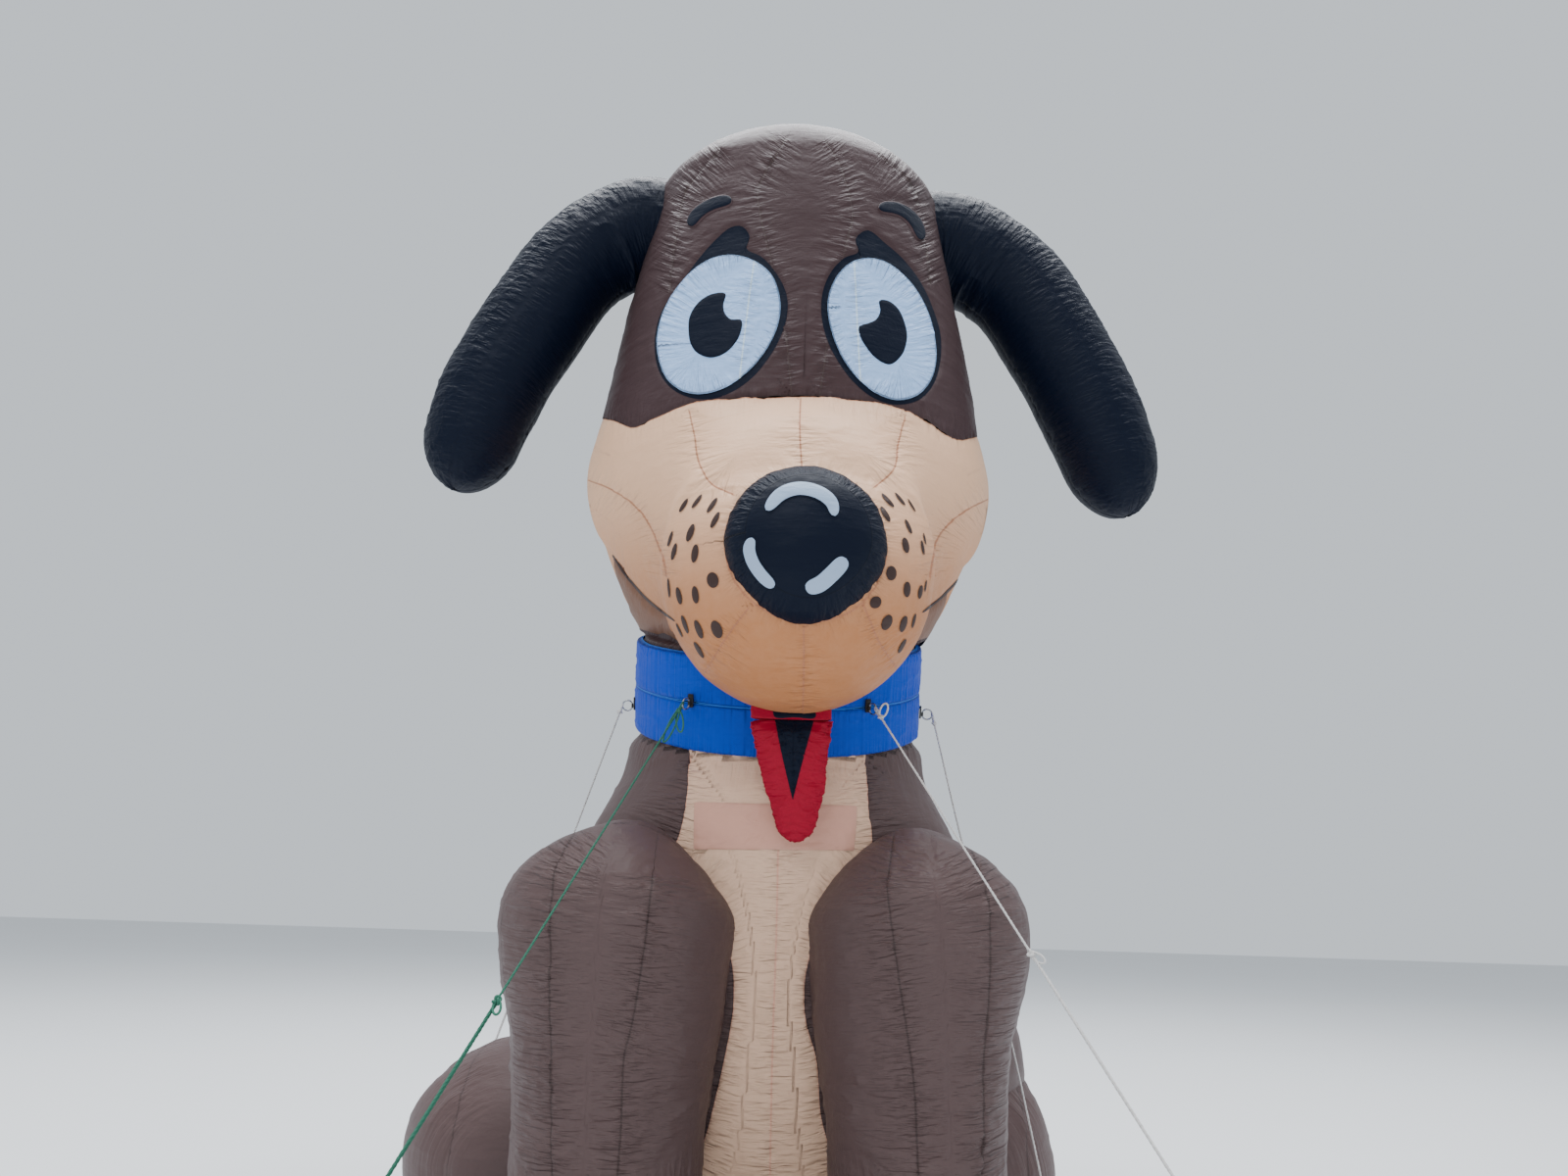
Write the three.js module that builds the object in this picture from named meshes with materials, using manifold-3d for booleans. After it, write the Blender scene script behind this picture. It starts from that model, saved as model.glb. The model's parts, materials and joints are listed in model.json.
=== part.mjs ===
// A giant fan-blown dog that sits on its haunches: sewn fabric chambers with 10 mm walls,
// held by guy ropes.
// Millimetres, Z up. The dog faces -Y, and left and right are as seen from in front of it, so left is -X.
// The origin is on the ground, in the middle of the body's flat base.

import * as THREE from "three";
import { mergeVertices } from "three/addons/utils/BufferGeometryUtils.js";
import Module from "manifold-3d";

const wasm = await Module();
wasm.setup();

// Fabric, and the gap between pieces that touch
const WALL = 10;
const PATCH = 5;
const GAP = 0.3;

// Neck tube and collar, about the neck's own axis
const HEAD_TURN = THREE.MathUtils.degToRad(3.5);
const NECK_TILT = THREE.MathUtils.degToRad(20);
const NECK_CENTRE = [-15, -80, 2740];
const NECK = { radius: 700, below: 520, above: 420, sides: 32 };
const COLLAR = { radius: 742, halfHeight: 232, edge: 12, bulgeShare: 0.2, neckShows: 35 };

// Body stations, from the ground up: centre x, y, z, half width, half depth
const TORSO = [
  [0, 420, 0, 900, 700],
  [0, 400, 280, 1150, 900],
  [0, 340, 800, 1300, 960],
  [0, 180, 1400, 1150, 890],
  [-20, 10, 1980, 915, 770],
  [-20, 35, 2260, 780, 725],
  [-15, 20, 2560, 735, 700],
];

// Head stations, from the neck up, in the head's own frame
const HEAD = [
  [0, -140, 2830, 560, 560],
  [0, -120, 3000, 740, 740],
  [0, -80, 3400, 940, 880],
  [0, -50, 3820, 1075, 925],
  [0, -40, 4240, 1020, 925],
  [0, -40, 4700, 945, 915],
  [0, -50, 5200, 850, 880],
  [0, -60, 5600, 810, 820],
  [0, -60, 5940, 790, 790],
];
const HEAD_DOME = 500;

// Where the pale cheeks end and the brown back of the head starts, in y
const CHEEKS_END = 100;

// Snout stations, from inside the head forwards: centre x, y, z, half width, half height
const SNOUT = [
  [0, -430, 3420, 560, 620],
  [0, -780, 3240, 610, 680],
  [0, -1080, 3050, 608, 632],
  [0, -1500, 2990, 570, 540],
];
const SNOUT_DOME = 520;
const NOSE = { y: -1400, z: 3080, halfWidth: 345, halfHeight: 350, halfDepth: 210 };

// Ear stations, from inside the head to the tip: centre x, y, z, half width, half depth
const EARS = {
  left: [
    [-700, -160, 5330, 290, 300],
    [-900, -170, 5320, 300, 300],
    [-1200, -180, 5110, 280, 300],
    [-1440, -190, 4690, 278, 300],
    [-1640, -190, 4240, 272, 285],
    [-1770, -190, 3690, 225, 230],
  ],
  right: [
    [700, -160, 5360, 290, 300],
    [900, -170, 5360, 305, 300],
    [1240, -180, 5150, 290, 300],
    [1500, -190, 4730, 282, 300],
    [1710, -190, 4270, 275, 285],
    [1860, -190, 3740, 222, 230],
  ],
};
const EAR_DOME = 300;

// Front leg stations, from the shoulder down: centre x, y, z, half width, half depth
const FRONT_LEGS = {
  left: [
    [-640, -600, 1975, 330, 380],
    [-690, -660, 1540, 520, 470],
    [-665, -700, 1100, 455, 430],
    [-665, -720, 700, 405, 400],
    [-665, -730, 250, 395, 390],
  ],
  right: [
    [600, -600, 1975, 330, 380],
    [640, -660, 1540, 490, 470],
    [615, -700, 1100, 425, 430],
    [625, -720, 700, 370, 400],
    [635, -730, 250, 370, 390],
  ],
};
const SHOULDER_DOME = 400;
const PAW_SEAM = 480;

// Paw stations, from heel to toes: centre x, y, z, half width, half height
const FRONT_PAW = [
  [655, -330, 230, 370, 230],
  [665, -800, 245, 450, 260],
  [675, -1330, 190, 440, 200],
];
const HIND_FOOT = [
  [0, 520, 210, 300, 210],
  [0, 120, 225, 330, 225],
  [0, -300, 190, 320, 190],
];
const PAW_DOME = 260;
const HAUNCHES = [
  { name: "left", x: -1130, y: 260, z: 440, halfWidth: 650, halfDepth: 640, halfHeight: 530, footX: -1350 },
  { name: "right", x: 900, y: 260, z: 440, halfWidth: 510, halfDepth: 620, halfHeight: 580, footX: 1130 },
];

// Tail stations, from the rump to the tip: centre x, y, z, half width, half depth
const TAIL = [
  [0, 1100, 420, 190, 190],
  [0, 1500, 480, 180, 180],
  [60, 1800, 760, 160, 160],
  [90, 1900, 1180, 120, 120],
];
const TAIL_DOME = 150;

// Seams and panels, as x and z of their points seen from in front, from left to right
const MOUTH = [
  [-1400, 3600], [-840, 3230], [-640, 3060], [-440, 3000],
  [440, 3000], [640, 3060], [840, 3230], [1400, 3600],
];
const FACE_SEAM = [
  [-1400, 4170], [-980, 4070], [-820, 3945], [-690, 3900], [-480, 3955], [-200, 3990],
  [200, 3990], [480, 3955], [690, 3900], [820, 3945], [980, 4070], [1400, 4170],
];
const BELLY = [
  [-400, 2340], [395, 2340], [430, 1840], [300, 1700], [190, 1480], [150, 1200], [215, 750],
  [330, 330], [-330, 330], [-215, 750], [-160, 1200], [-190, 1480], [-300, 1700], [-450, 1840],
];
const BANNER = [[-370, 1855], [345, 1855], [345, 2050], [-370, 2050]];

// Eyes: leaning ovals, with a rim that runs out to a horn above. The horn's outline is about the eye's
// centre, as on the left eye: its start, then a control point and an end point for each of its curves.
const EYE = { z: 4390, halfWidth: 275, halfHeight: 400, tilt: 25 };
const RIM = { width: 22, inwards: 12 };
const HORN = {
  start: [-290, -120],
  curves: [[-200, 312, 32, 510], [128, 525, 93, 424], [0, 330, -150, 100]],
};
const PUPIL = { below: 15, halfWidth: 112, halfHeight: 190, tilt: 22 };
const EYE_PLACES = {
  left: { x: 410, pupilX: 435, browX: 455, browZ: 4890 },
  right: { x: 378, pupilX: 372, browX: 480, browZ: 4900 },
};
const BROW = { radius: 190, from: 35, to: 118, halfWidth: 33 };

// Tongue: hinge line and size, the curves of its outline as control and end points below the hinge,
// and the black wedge
const TONGUE = { x: 55, y: -905, hingeZ: 2400, width: 400, thickness: 64 };
const TONGUE_CURVES = [[190, -218, 120, -470], [0, -582, -120, -470], [-190, -218, -200, 0]];
const TONGUE_HEM = { width: 300, depth: 44, height: 200 };
const WEDGE = { halfWidth: 98, top: -15, bottom: -325, depth: 6 };

// Guy ropes: angle round the collar and height on it, ground x and y, and points that the rope passes
const ROPE = { diameter: 14, segments: 4, curvedSteps: 14, aboveStake: 25 };
const GUYS = [
  { name: "front_left", angle: -123, height: 0, ground: [-1500, -2300], by: [], colour: "rope_green" },
  { name: "front_right", angle: -55, height: 0, ground: [1740, -2100], by: [], colour: "rope_white" },
  { name: "rear_left", angle: -170, height: -110, ground: [-2100, 2600], by: [], colour: "rope_white" },
  {
    name: "rear_right",
    angle: -9,
    height: -110,
    ground: [1260, -640],
    by: [[905, -240, 1990], [1060, -330, 1300]],
    colour: "rope_white",
  },
];
const TAB = { width: 50, length: 90, thickness: 8, sunk: 10, lift: 20 };
const RING = { radius: 26, wire: 4 };
const STAKE = { radius: 9, height: 120 };

// Blower: scroll centre and sizes, its outlet, impeller, motor, and the sleeve to the body
const BLOWER = { x: -560, y: 2030, z: 265, wall: 5, halfWidth: 130, small: 165, large: 235, inlet: 100 };
const OUTLET = { top: -40, front: -300, spigotWall: 4, spigotLength: 80 };
const IMPELLER = { radius: 118, ring: 14, halfWidth: 75, blades: 18, blade: 4, bladeTurn: 35, disc: 6 };
const HUB = { radius: 24, length: 40 };
const SHAFT = { radius: 8, clearance: 5, intoMotor: 8 };
const MOTOR = { radius: 72, length: 130, boss: 20 };
const GRILLE = { radius: 118, thickness: 4, bar: 5, rings: [32, 66], bars: 3 };
const FEET = { width: 30, depth: 300, height: 85 };
const HANDLE = { radius: 11, halfSpan: 80, rise: 81, bend: 0.3 };
const SLEEVE = { radius: 108, wall: 10, from: 850 };
const STRAP = { width: 38, thickness: 4, over: 62, fromEnd: 10 };

// How finely round things are divided
const ROUND = { small: 12, medium: 18, large: 24 };
const BALL = { sides: 24, rings: 14, innerSides: 14, innerRings: 8 };
const INNER_RING_SHARE = 0.6;
const OVERSHOOT = 1;
const FAR = 4000;

// Materials: colour, roughness, metalness
const MATERIALS = {
  brown: [0x5a4644, 0.62, 0],
  tan: [0xc9a183, 0.62, 0],
  tan_dark: [0xa87f66, 0.62, 0],
  pink_tan: [0xcf9f88, 0.6, 0],
  blue: [0x1455af, 0.5, 0],
  black: [0x0c1420, 0.45, 0],
  eye_white: [0xc6d6ee, 0.55, 0],
  red: [0xb9233c, 0.55, 0],
  rope_green: [0x3f8f5c, 0.8, 0],
  rope_white: [0xcfd3d6, 0.8, 0],
  steel: [0x8d9298, 0.35, 1],
  plastic: [0x22252b, 0.5, 0],
  orange: [0xd06a1e, 0.5, 0],
};

const radians = THREE.MathUtils.degToRad;
const SIDES = [["left", -1], ["right", 1]];

const dog = new THREE.Group();
const head = new THREE.Group();
head.rotation.z = HEAD_TURN;
const neck = new THREE.Group();
neck.position.set(...NECK_CENTRE);
neck.rotation.x = NECK_TILT;
dog.add(head, neck);

// Turns a closed geometry into a solid that can be cut.
function solid(geometry) {
  const bare = geometry.clone();
  bare.deleteAttribute("normal");
  bare.deleteAttribute("uv");
  const merged = mergeVertices(bare, 0.001);
  return new wasm.Manifold(new wasm.Mesh({
    numProp: 3,
    vertProperties: new Float32Array(merged.attributes.position.array),
    triVerts: new Uint32Array(merged.index.array),
  }));
}

// Turns a solid back into a geometry.
function geometryOf(cut) {
  const { vertProperties, triVerts } = cut.getMesh();
  const geometry = new THREE.BufferGeometry();
  geometry.setAttribute("position", new THREE.BufferAttribute(vertProperties, 3));
  geometry.setIndex(new THREE.BufferAttribute(triVerts, 1));
  geometry.computeVertexNormals();
  return geometry;
}

// Adds a geometry or a solid to its group as a named piece.
function add(name, shape, colour, parent = dog) {
  const geometry = shape.isBufferGeometry ? shape : geometryOf(shape);
  const [color, roughness, metalness] = MATERIALS[colour];
  const mesh = new THREE.Mesh(geometry, new THREE.MeshStandardMaterial({ color, roughness, metalness }));
  mesh.name = name;
  parent.add(mesh);
}

// A dome's share of its full size, from 1 at its base to 0 at its tip.
function domeShare(height, power) {
  return Math.max(0, 1 - height ** power) ** (1 / power);
}

// Distances along a form at which it has a ring: closer together in a dome.
function ringPlaces(low, high, startDome, endDome, rings, domeRings) {
  const places = [];
  for (let i = 0; startDome && i < domeRings; i++)
    places.push(startDome - (startDome - low) * Math.cos((i / domeRings) * (Math.PI / 2)));
  const from = startDome || low;
  const to = endDome || high;
  for (let i = 0; i <= rings; i++)
    places.push(from + ((to - from) * i) / rings);
  for (let i = 1; endDome && i <= domeRings; i++)
    places.push(endDome + (high - endDome) * Math.sin((i / domeRings) * (Math.PI / 2)));
  return places;
}

// A closed form through stations of centre x, y, z and two half sizes, which grow moves out or in.
// upright keeps its rings level; across is the direction that the second half size is measured along.
function form(stations, {
  sides, rings, grow = 0, upright = false, across = [0, 1, 0],
  startDome = 0, endDome = 0, domeRings = 4, domePower = 2, openStart = 0, openEnd = 0, square = 2,
}) {
  const path = new THREE.CatmullRomCurve3(stations.map(([x, y, z]) => new THREE.Vector3(x, y, z)));
  const sizes = new THREE.CatmullRomCurve3(stations.map((row) => new THREE.Vector3(row[3], row[4], 0)));
  path.arcLengthDivisions = 400;
  const length = path.getLength();
  const low = openStart ? -openStart : -grow;
  const high = openEnd ? length + openEnd : length + grow;
  const domeLow = openStart ? 0 : startDome;
  const domeHigh = openEnd || !endDome ? 0 : length - endDome;
  const acrossDirection = new THREE.Vector3(...across);
  const rows = ringPlaces(low, high, domeLow, domeHigh, rings, domeRings).map((place) => {
    const u = THREE.MathUtils.clamp(place / length, 0, 1);
    const centre = path.getPointAt(u);
    const along = path.getTangentAt(u);
    const tangent = upright ? new THREE.Vector3(0, 0, 1) : along;
    centre.addScaledVector(along, place - u * length);
    const size = sizes.getPoint(path.getUtoTmapping(u));
    let share = 1;
    if (domeLow && place < domeLow)
      share = domeShare((domeLow - place) / (domeLow - low), domePower);
    if (domeHigh && place > domeHigh)
      share = domeShare((place - domeHigh) / (high - domeHigh), domePower);
    const first = new THREE.Vector3().crossVectors(acrossDirection, tangent).normalize();
    const second = new THREE.Vector3().crossVectors(tangent, first).normalize();
    const halfFirst = Math.max(0, (size.x + grow) * share);
    const halfSecond = Math.max(0, (size.y + grow) * share);
    const ring = [];
    for (let i = 0; i < sides; i++) {
      const c = Math.cos((i / sides) * 2 * Math.PI);
      const s = Math.sin((i / sides) * 2 * Math.PI);
      const out = Math.sign(c) * Math.abs(c) ** (2 / square) * halfFirst;
      const up = Math.sign(s) * Math.abs(s) ** (2 / square) * halfSecond;
      ring.push(centre.clone().addScaledVector(first, out).addScaledVector(second, up));
    }
    return { ring, centre, bare: halfFirst < 1 || halfSecond < 1 };
  });
  return skin(rows, sides);
}

// Joins rings to one closed surface, with a fan over each end. A bare row is only its centre.
function skin(rows, sides) {
  const positions = [];
  const put = (...corners) => corners.forEach((p) => positions.push(p.x, p.y, p.z));
  const first = rows[0];
  const last = rows[rows.length - 1];
  for (let j = 0; j < sides; j++) {
    const k = (j + 1) % sides;
    if (!first.bare)
      put(first.centre, first.ring[k], first.ring[j]);
    if (!last.bare)
      put(last.centre, last.ring[j], last.ring[k]);
    for (let i = 0; i + 1 < rows.length; i++) {
      const a = rows[i];
      const b = rows[i + 1];
      if (!a.bare)
        put(a.ring[j], a.ring[k], b.bare ? b.centre : b.ring[j]);
      if (!b.bare)
        put(a.bare ? a.centre : a.ring[k], b.ring[k], b.ring[j]);
    }
  }
  const geometry = new THREE.BufferGeometry();
  geometry.setAttribute("position", new THREE.Float32BufferAttribute(positions, 3));
  return mergeVertices(geometry, 0.001);
}

// A chamber: its form less the same form one wall inside it. start and end run the inside out past an end.
function chamber(stations, options, { start = 0, end = 0 } = {}) {
  const coarse = {
    ...options,
    sides: options.sides / 2,
    rings: Math.ceil(options.rings * INNER_RING_SHARE),
    domeRings: 3,
    grow: -WALL,
    openStart: start,
    openEnd: end,
  };
  const outer = solid(form(stations, options));
  const inner = solid(form(stations, coarse));
  return { outer, inner, shell: outer.subtract(inner) };
}

// A ball, coarser where it is an inside.
function ball({ x = 0, y, z, halfWidth, halfDepth, halfHeight }, more) {
  const [sides, rings] = more < 0 ? [BALL.innerSides, BALL.innerRings] : [BALL.sides, BALL.rings];
  return solid(new THREE.SphereGeometry(1, sides, rings)
    .scale(halfWidth + more, halfDepth + more, halfHeight + more)
    .translate(x, y, z));
}

// A prism over a front outline of x and z, or over a shape, from yFront back to yBack.
function frontPrism(outline, yFront, yBack) {
  const points = () => outline.map(([x, z]) => new THREE.Vector2(x, z));
  const shape = outline instanceof THREE.Shape ? outline : new THREE.Shape(points());
  const options = { depth: yBack - yFront, bevelEnabled: false, curveSegments: 8 };
  return solid(new THREE.ExtrudeGeometry(shape, options).rotateX(Math.PI / 2).translate(0, yBack, 0));
}

function block(width, depth, height, x, y, z) {
  return new THREE.BoxGeometry(width, depth, height).translate(x, y, z);
}

// All that lies between two levels.
function slab(low, high) {
  return solid(block(FAR * 2, FAR * 2, high - low, 0, 0, (low + high) / 2));
}

// All that lies above a front line.
function above(line) {
  const top = [[FAR, line.at(-1)[1]], [FAR, FAR * 2], [-FAR, FAR * 2], [-FAR, line[0][1]]];
  return frontPrism([...line, ...top], -FAR, FAR);
}

function raised(line) {
  return line.map(([x, z]) => [x, z + GAP]);
}

const ground = slab(0, FAR * 2);

// The neck tube and the two bands of the collar round it
function turned(profile) {
  const points = profile.map(([r, h]) => new THREE.Vector2(r, h));
  return new THREE.LatheGeometry(points, NECK.sides).rotateX(Math.PI / 2);
}

function tube(outer, inner, low, high) {
  return turned([[inner, low], [outer, low], [outer, high], [inner, high], [inner, low]]);
}

function collarBand(low, high) {
  const inner = NECK.radius + GAP;
  const bulge = (high - low) * COLLAR.bulgeShare;
  return turned([
    [inner, low],
    [COLLAR.radius - COLLAR.edge, low],
    [COLLAR.radius, low + bulge],
    [COLLAR.radius, high - bulge],
    [COLLAR.radius - COLLAR.edge, high],
    [inner, high],
    [inner, low],
  ]);
}

// A plug about the neck's axis, in the neck's frame or in the body's.
function neckPlug(radius, low, high) {
  return new THREE.CylinderGeometry(radius, radius, high - low, NECK.sides)
    .rotateX(Math.PI / 2)
    .translate(0, 0, (low + high) / 2);
}

function bodyPlug(radius, low, high) {
  return neckPlug(radius, low, high).rotateX(NECK_TILT).translate(...NECK_CENTRE);
}

add("neck", tube(NECK.radius, NECK.radius - WALL, -NECK.below, NECK.above), "brown", neck);
add("collar_lower_band", collarBand(-COLLAR.halfHeight, -GAP / 2), "blue", neck);
add("collar_upper_band", collarBand(GAP / 2, COLLAR.halfHeight), "blue", neck);
const neckRoom = bodyPlug(NECK.radius + GAP, -NECK.below - GAP, NECK.above + GAP);
const collarRoom = bodyPlug(COLLAR.radius + GAP, -COLLAR.halfHeight - GAP, NECK.above);

// Torso, cut for the neck and the inflation sleeve, and split at its pale front panel
const torsoOptions = { upright: true, rings: 12, sides: 36 };
const torsoGrown = (grow) => form(TORSO, { ...torsoOptions, grow });
const bodyRoom = solid(torsoGrown(GAP));
const sleeveZ = BLOWER.z + (OUTLET.top - BLOWER.large) / 2;
const sleeveInside = SLEEVE.radius - SLEEVE.wall;
const sleeveBore = solid(new THREE.CylinderGeometry(sleeveInside, sleeveInside, FAR, ROUND.large)
  .translate(BLOWER.x, FAR / 2 + SLEEVE.from, sleeveZ));
const torsoShell = chamber(TORSO, torsoOptions).shell
  .subtract(solid(neckRoom))
  .subtract(solid(collarRoom))
  .subtract(sleeveBore);
const widerBelly = BELLY.map(([x, z]) => [x + Math.sign(x) * GAP, z]);
add("torso", torsoShell.subtract(frontPrism(widerBelly, -FAR, 0)), "brown");
add("belly_panel", torsoShell.intersect(frontPrism(BELLY, -FAR, 0)), "tan");

// Front legs, each cut where the body wall is, and closed by its paw below the seam
const legOptions = { rings: 7, sides: 20, startDome: SHOULDER_DOME };
const pawOptions = { rings: 3, sides: 20, across: [0, 0, 1], startDome: PAW_DOME, endDome: PAW_DOME };
let banner = solid(torsoGrown(GAP + PATCH))
  .subtract(bodyRoom)
  .intersect(frontPrism(BANNER, -FAR, 0));
for (const [name, side] of SIDES) {
  const leg = chamber(FRONT_LEGS[name], legOptions, { end: WALL });
  const paw = chamber(FRONT_PAW.map(([x, ...rest]) => [x * side, ...rest]), pawOptions);
  const legAboveSeam = leg.shell.intersect(slab(PAW_SEAM + GAP, FAR));
  add(`front_leg_${name}`, legAboveSeam.subtract(bodyRoom), "brown");
  const pawOuter = leg.outer.add(paw.outer).intersect(slab(0, PAW_SEAM));
  const pawInner = leg.inner.add(paw.inner).intersect(slab(WALL, FAR));
  add(`front_paw_${name}`, pawOuter.subtract(pawInner).subtract(bodyRoom), "brown");
  banner = banner.subtract(solid(form(FRONT_LEGS[name], { ...legOptions, grow: GAP })));
}
add("banner_patch", banner, "pink_tan");

// Haunches and hind feet
for (const haunch of HAUNCHES) {
  const foot = chamber(HIND_FOOT.map(([, ...rest]) => [haunch.footX, ...rest]), pawOptions);
  const shell = ball(haunch, 0).intersect(ground).subtract(ball(haunch, -WALL).intersect(slab(WALL, FAR)));
  add(`haunch_${haunch.name}`, shell.subtract(bodyRoom), "brown");
  const footRoom = bodyRoom.add(ball(haunch, GAP));
  add(`hind_foot_${haunch.name}`, foot.shell.intersect(ground).subtract(footRoom), "brown");
}

const tail = chamber(TAIL, { rings: 7, sides: 16, endDome: TAIL_DOME });
add("tail", tail.shell.subtract(bodyRoom), "brown");

// Head: one chamber, split at the seam over the cheeks and at the mouth, with the snout let into its front
const headOptions = { upright: true, rings: 11, sides: 36, square: 2.2, endDome: HEAD_DOME, domePower: 1.9 };
const headGrown = (grow) => solid(form(HEAD, { ...headOptions, grow }));
const headChamber = chamber(HEAD, headOptions);
const headRoom = headGrown(GAP);
const collarInHead = bodyPlug(COLLAR.radius + GAP, -NECK.below, COLLAR.halfHeight + COLLAR.neckShows);
const neckCut = solid(neckRoom.clone().rotateZ(-HEAD_TURN)).add(solid(collarInHead.rotateZ(-HEAD_TURN)));
const snoutOptions = { rings: 5, sides: 24, across: [0, 0, 1], endDome: SNOUT_DOME };
const snoutGrown = form(SNOUT, { ...snoutOptions, grow: GAP });
const snoutRoom = solid(snoutGrown);
const faceShell = headChamber.shell.subtract(neckCut);
const lowerFace = faceShell.subtract(above(FACE_SEAM));
const jaws = lowerFace.subtract(above(MOUTH)).subtract(snoutRoom);
add("head_crown", faceShell.intersect(above(raised(FACE_SEAM))), "brown", head);
const cheeks = lowerFace.intersect(above(raised(MOUTH))).subtract(snoutRoom);
const behind = (y) => solid(block(FAR * 2, FAR, FAR * 2, 0, y + FAR / 2, FAR));
add("head_cheeks", cheeks.subtract(behind(CHEEKS_END)), "tan", head);
add("head_back", cheeks.intersect(behind(CHEEKS_END + GAP)), "brown", head);
for (const [name, side] of SIDES) {
  const half = solid(block(FAR, FAR, FAR * 2, (side * FAR) / 2, 0, FAR / 2));
  add(`jaw_${name}`, jaws.intersect(half), "tan_dark", head);
}
const snout = chamber(SNOUT, snoutOptions);
add("snout", snout.shell.subtract(headChamber.inner).subtract(neckCut), "tan", head);
add("nose", ball(NOSE, 0).subtract(ball(NOSE, -WALL)).subtract(snoutRoom), "black", head);

// Ears, cut where the head wall is
const earOptions = { rings: 8, sides: 18, endDome: EAR_DOME };
for (const [name] of SIDES)
  add(`ear_${name}`, chamber(EARS[name], earOptions).shell.subtract(headRoom), "black", head);

// Eyes and brows: patches sewn on the crown
const faceLayer = headGrown(GAP + PATCH).subtract(headRoom);

// A leaning oval's prism, more wide all round.
function oval({ x, z, halfWidth, halfHeight, tilt }, side, more = 0) {
  const shape = new THREE.Shape();
  const lean = radians(tilt) * side;
  shape.absellipse(x * side, z, halfWidth + more, halfHeight + more, 0, 2 * Math.PI, false, lean);
  return frontPrism(new THREE.Shape(shape.getPoints(ROUND.small)), -FAR, 0);
}

// The horn of an eye's rim, drawn for the left eye and mirrored for the right one.
function horn(x, z, side) {
  const place = ([px, pz]) => [x * side - px * side, z + pz];
  const shape = new THREE.Shape();
  shape.moveTo(...place(HORN.start));
  for (const [controlX, controlZ, endX, endZ] of HORN.curves)
    shape.quadraticCurveTo(...place([controlX, controlZ]), ...place([endX, endZ]));
  shape.closePath();
  return frontPrism(new THREE.Shape(shape.getPoints(ROUND.small / 2)), -FAR, 0);
}

function browArc(x, z, side) {
  const [from, to] = side > 0 ? [BROW.from, BROW.to] : [180 - BROW.to, 180 - BROW.from];
  const arc = new THREE.Shape();
  arc.absarc(x * side, z, BROW.radius + BROW.halfWidth, radians(from), radians(to), false);
  arc.absarc(x * side, z, BROW.radius - BROW.halfWidth, radians(to), radians(from), true);
  return frontPrism(arc, -FAR, 0);
}

for (const [name, side] of SIDES) {
  const { x, pupilX, browX, browZ } = EYE_PLACES[name];
  const eye = { ...EYE, x };
  const pupil = { ...PUPIL, x: pupilX, z: EYE.z - PUPIL.below };
  const rim = oval({ ...eye, x: x - RIM.inwards }, side, RIM.width).add(horn(x, EYE.z, side));
  const patch = (shape) => shape.intersect(faceLayer).subtract(snoutRoom);
  add(`eye_rim_${name}`, patch(rim.subtract(oval(eye, side, GAP))), "black", head);
  add(`eye_white_${name}`, patch(oval(eye, side).subtract(oval(pupil, side, GAP))), "eye_white", head);
  add(`pupil_${name}`, patch(oval(pupil, side)), "black", head);
  add(`eyebrow_${name}`, patch(browArc(browX, browZ, side)), "black", head);
}

// Tongue: a padded flap that hangs from a hem under the snout, with a wedge let into its front
const tongueGroup = new THREE.Group();
tongueGroup.position.set(TONGUE.x, TONGUE.y, TONGUE.hingeZ);
dog.add(tongueGroup);
const tongueFront = -TONGUE.thickness / 2;

function tongueFlap() {
  const shape = new THREE.Shape();
  shape.moveTo(-TONGUE.width / 2, 0);
  shape.lineTo(TONGUE.width / 2, 0);
  for (const curve of TONGUE_CURVES)
    shape.quadraticCurveTo(...curve);
  const half = TONGUE.thickness / 2;
  const roll = new THREE.CylinderGeometry(half, half, TONGUE.width, ROUND.medium).rotateZ(Math.PI / 2);
  return frontPrism(shape, tongueFront, -tongueFront).add(solid(roll));
}

function wedgeOutline(more) {
  const { halfWidth, top, bottom } = WEDGE;
  return [[-halfWidth - more, top + more], [0, bottom - 3 * more], [halfWidth + more, top + more]];
}

const wedgeBack = tongueFront + WEDGE.depth;
const wedgeRoom = frontPrism(wedgeOutline(GAP), tongueFront - OVERSHOOT, wedgeBack);
add("tongue", tongueFlap().subtract(wedgeRoom), "red", tongueGroup);
add("tongue_wedge", frontPrism(wedgeOutline(0), tongueFront, wedgeBack - GAP), "black", tongueGroup);
const hemZ = TONGUE.hingeZ + TONGUE.thickness / 2 + GAP + TONGUE_HEM.height / 2;
const hem = block(TONGUE_HEM.width, TONGUE_HEM.depth, TONGUE_HEM.height, TONGUE.x, TONGUE.y, hemZ);
add("tongue_hem", solid(hem).subtract(solid(snoutGrown.clone().rotateZ(HEAD_TURN))), "red");

// Guy ropes: tab and ring on the collar, rope, and a stake in the ground
const collarSolid = solid(neckPlug(COLLAR.radius + GAP, -COLLAR.halfHeight, COLLAR.halfHeight));
const ropeSection = new THREE.Shape().absarc(0, 0, ROPE.diameter / 2, 0, 2 * Math.PI, false);
const neckMatrix = new THREE.Matrix4().makeRotationX(NECK_TILT).setPosition(...NECK_CENTRE);

function stake(x, y, more) {
  const radius = STAKE.radius + more;
  const height = STAKE.height + 2 * more;
  return new THREE.CylinderGeometry(radius, radius, height, ROUND.small)
    .rotateX(Math.PI / 2)
    .translate(x, y, STAKE.height / 2);
}

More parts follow.
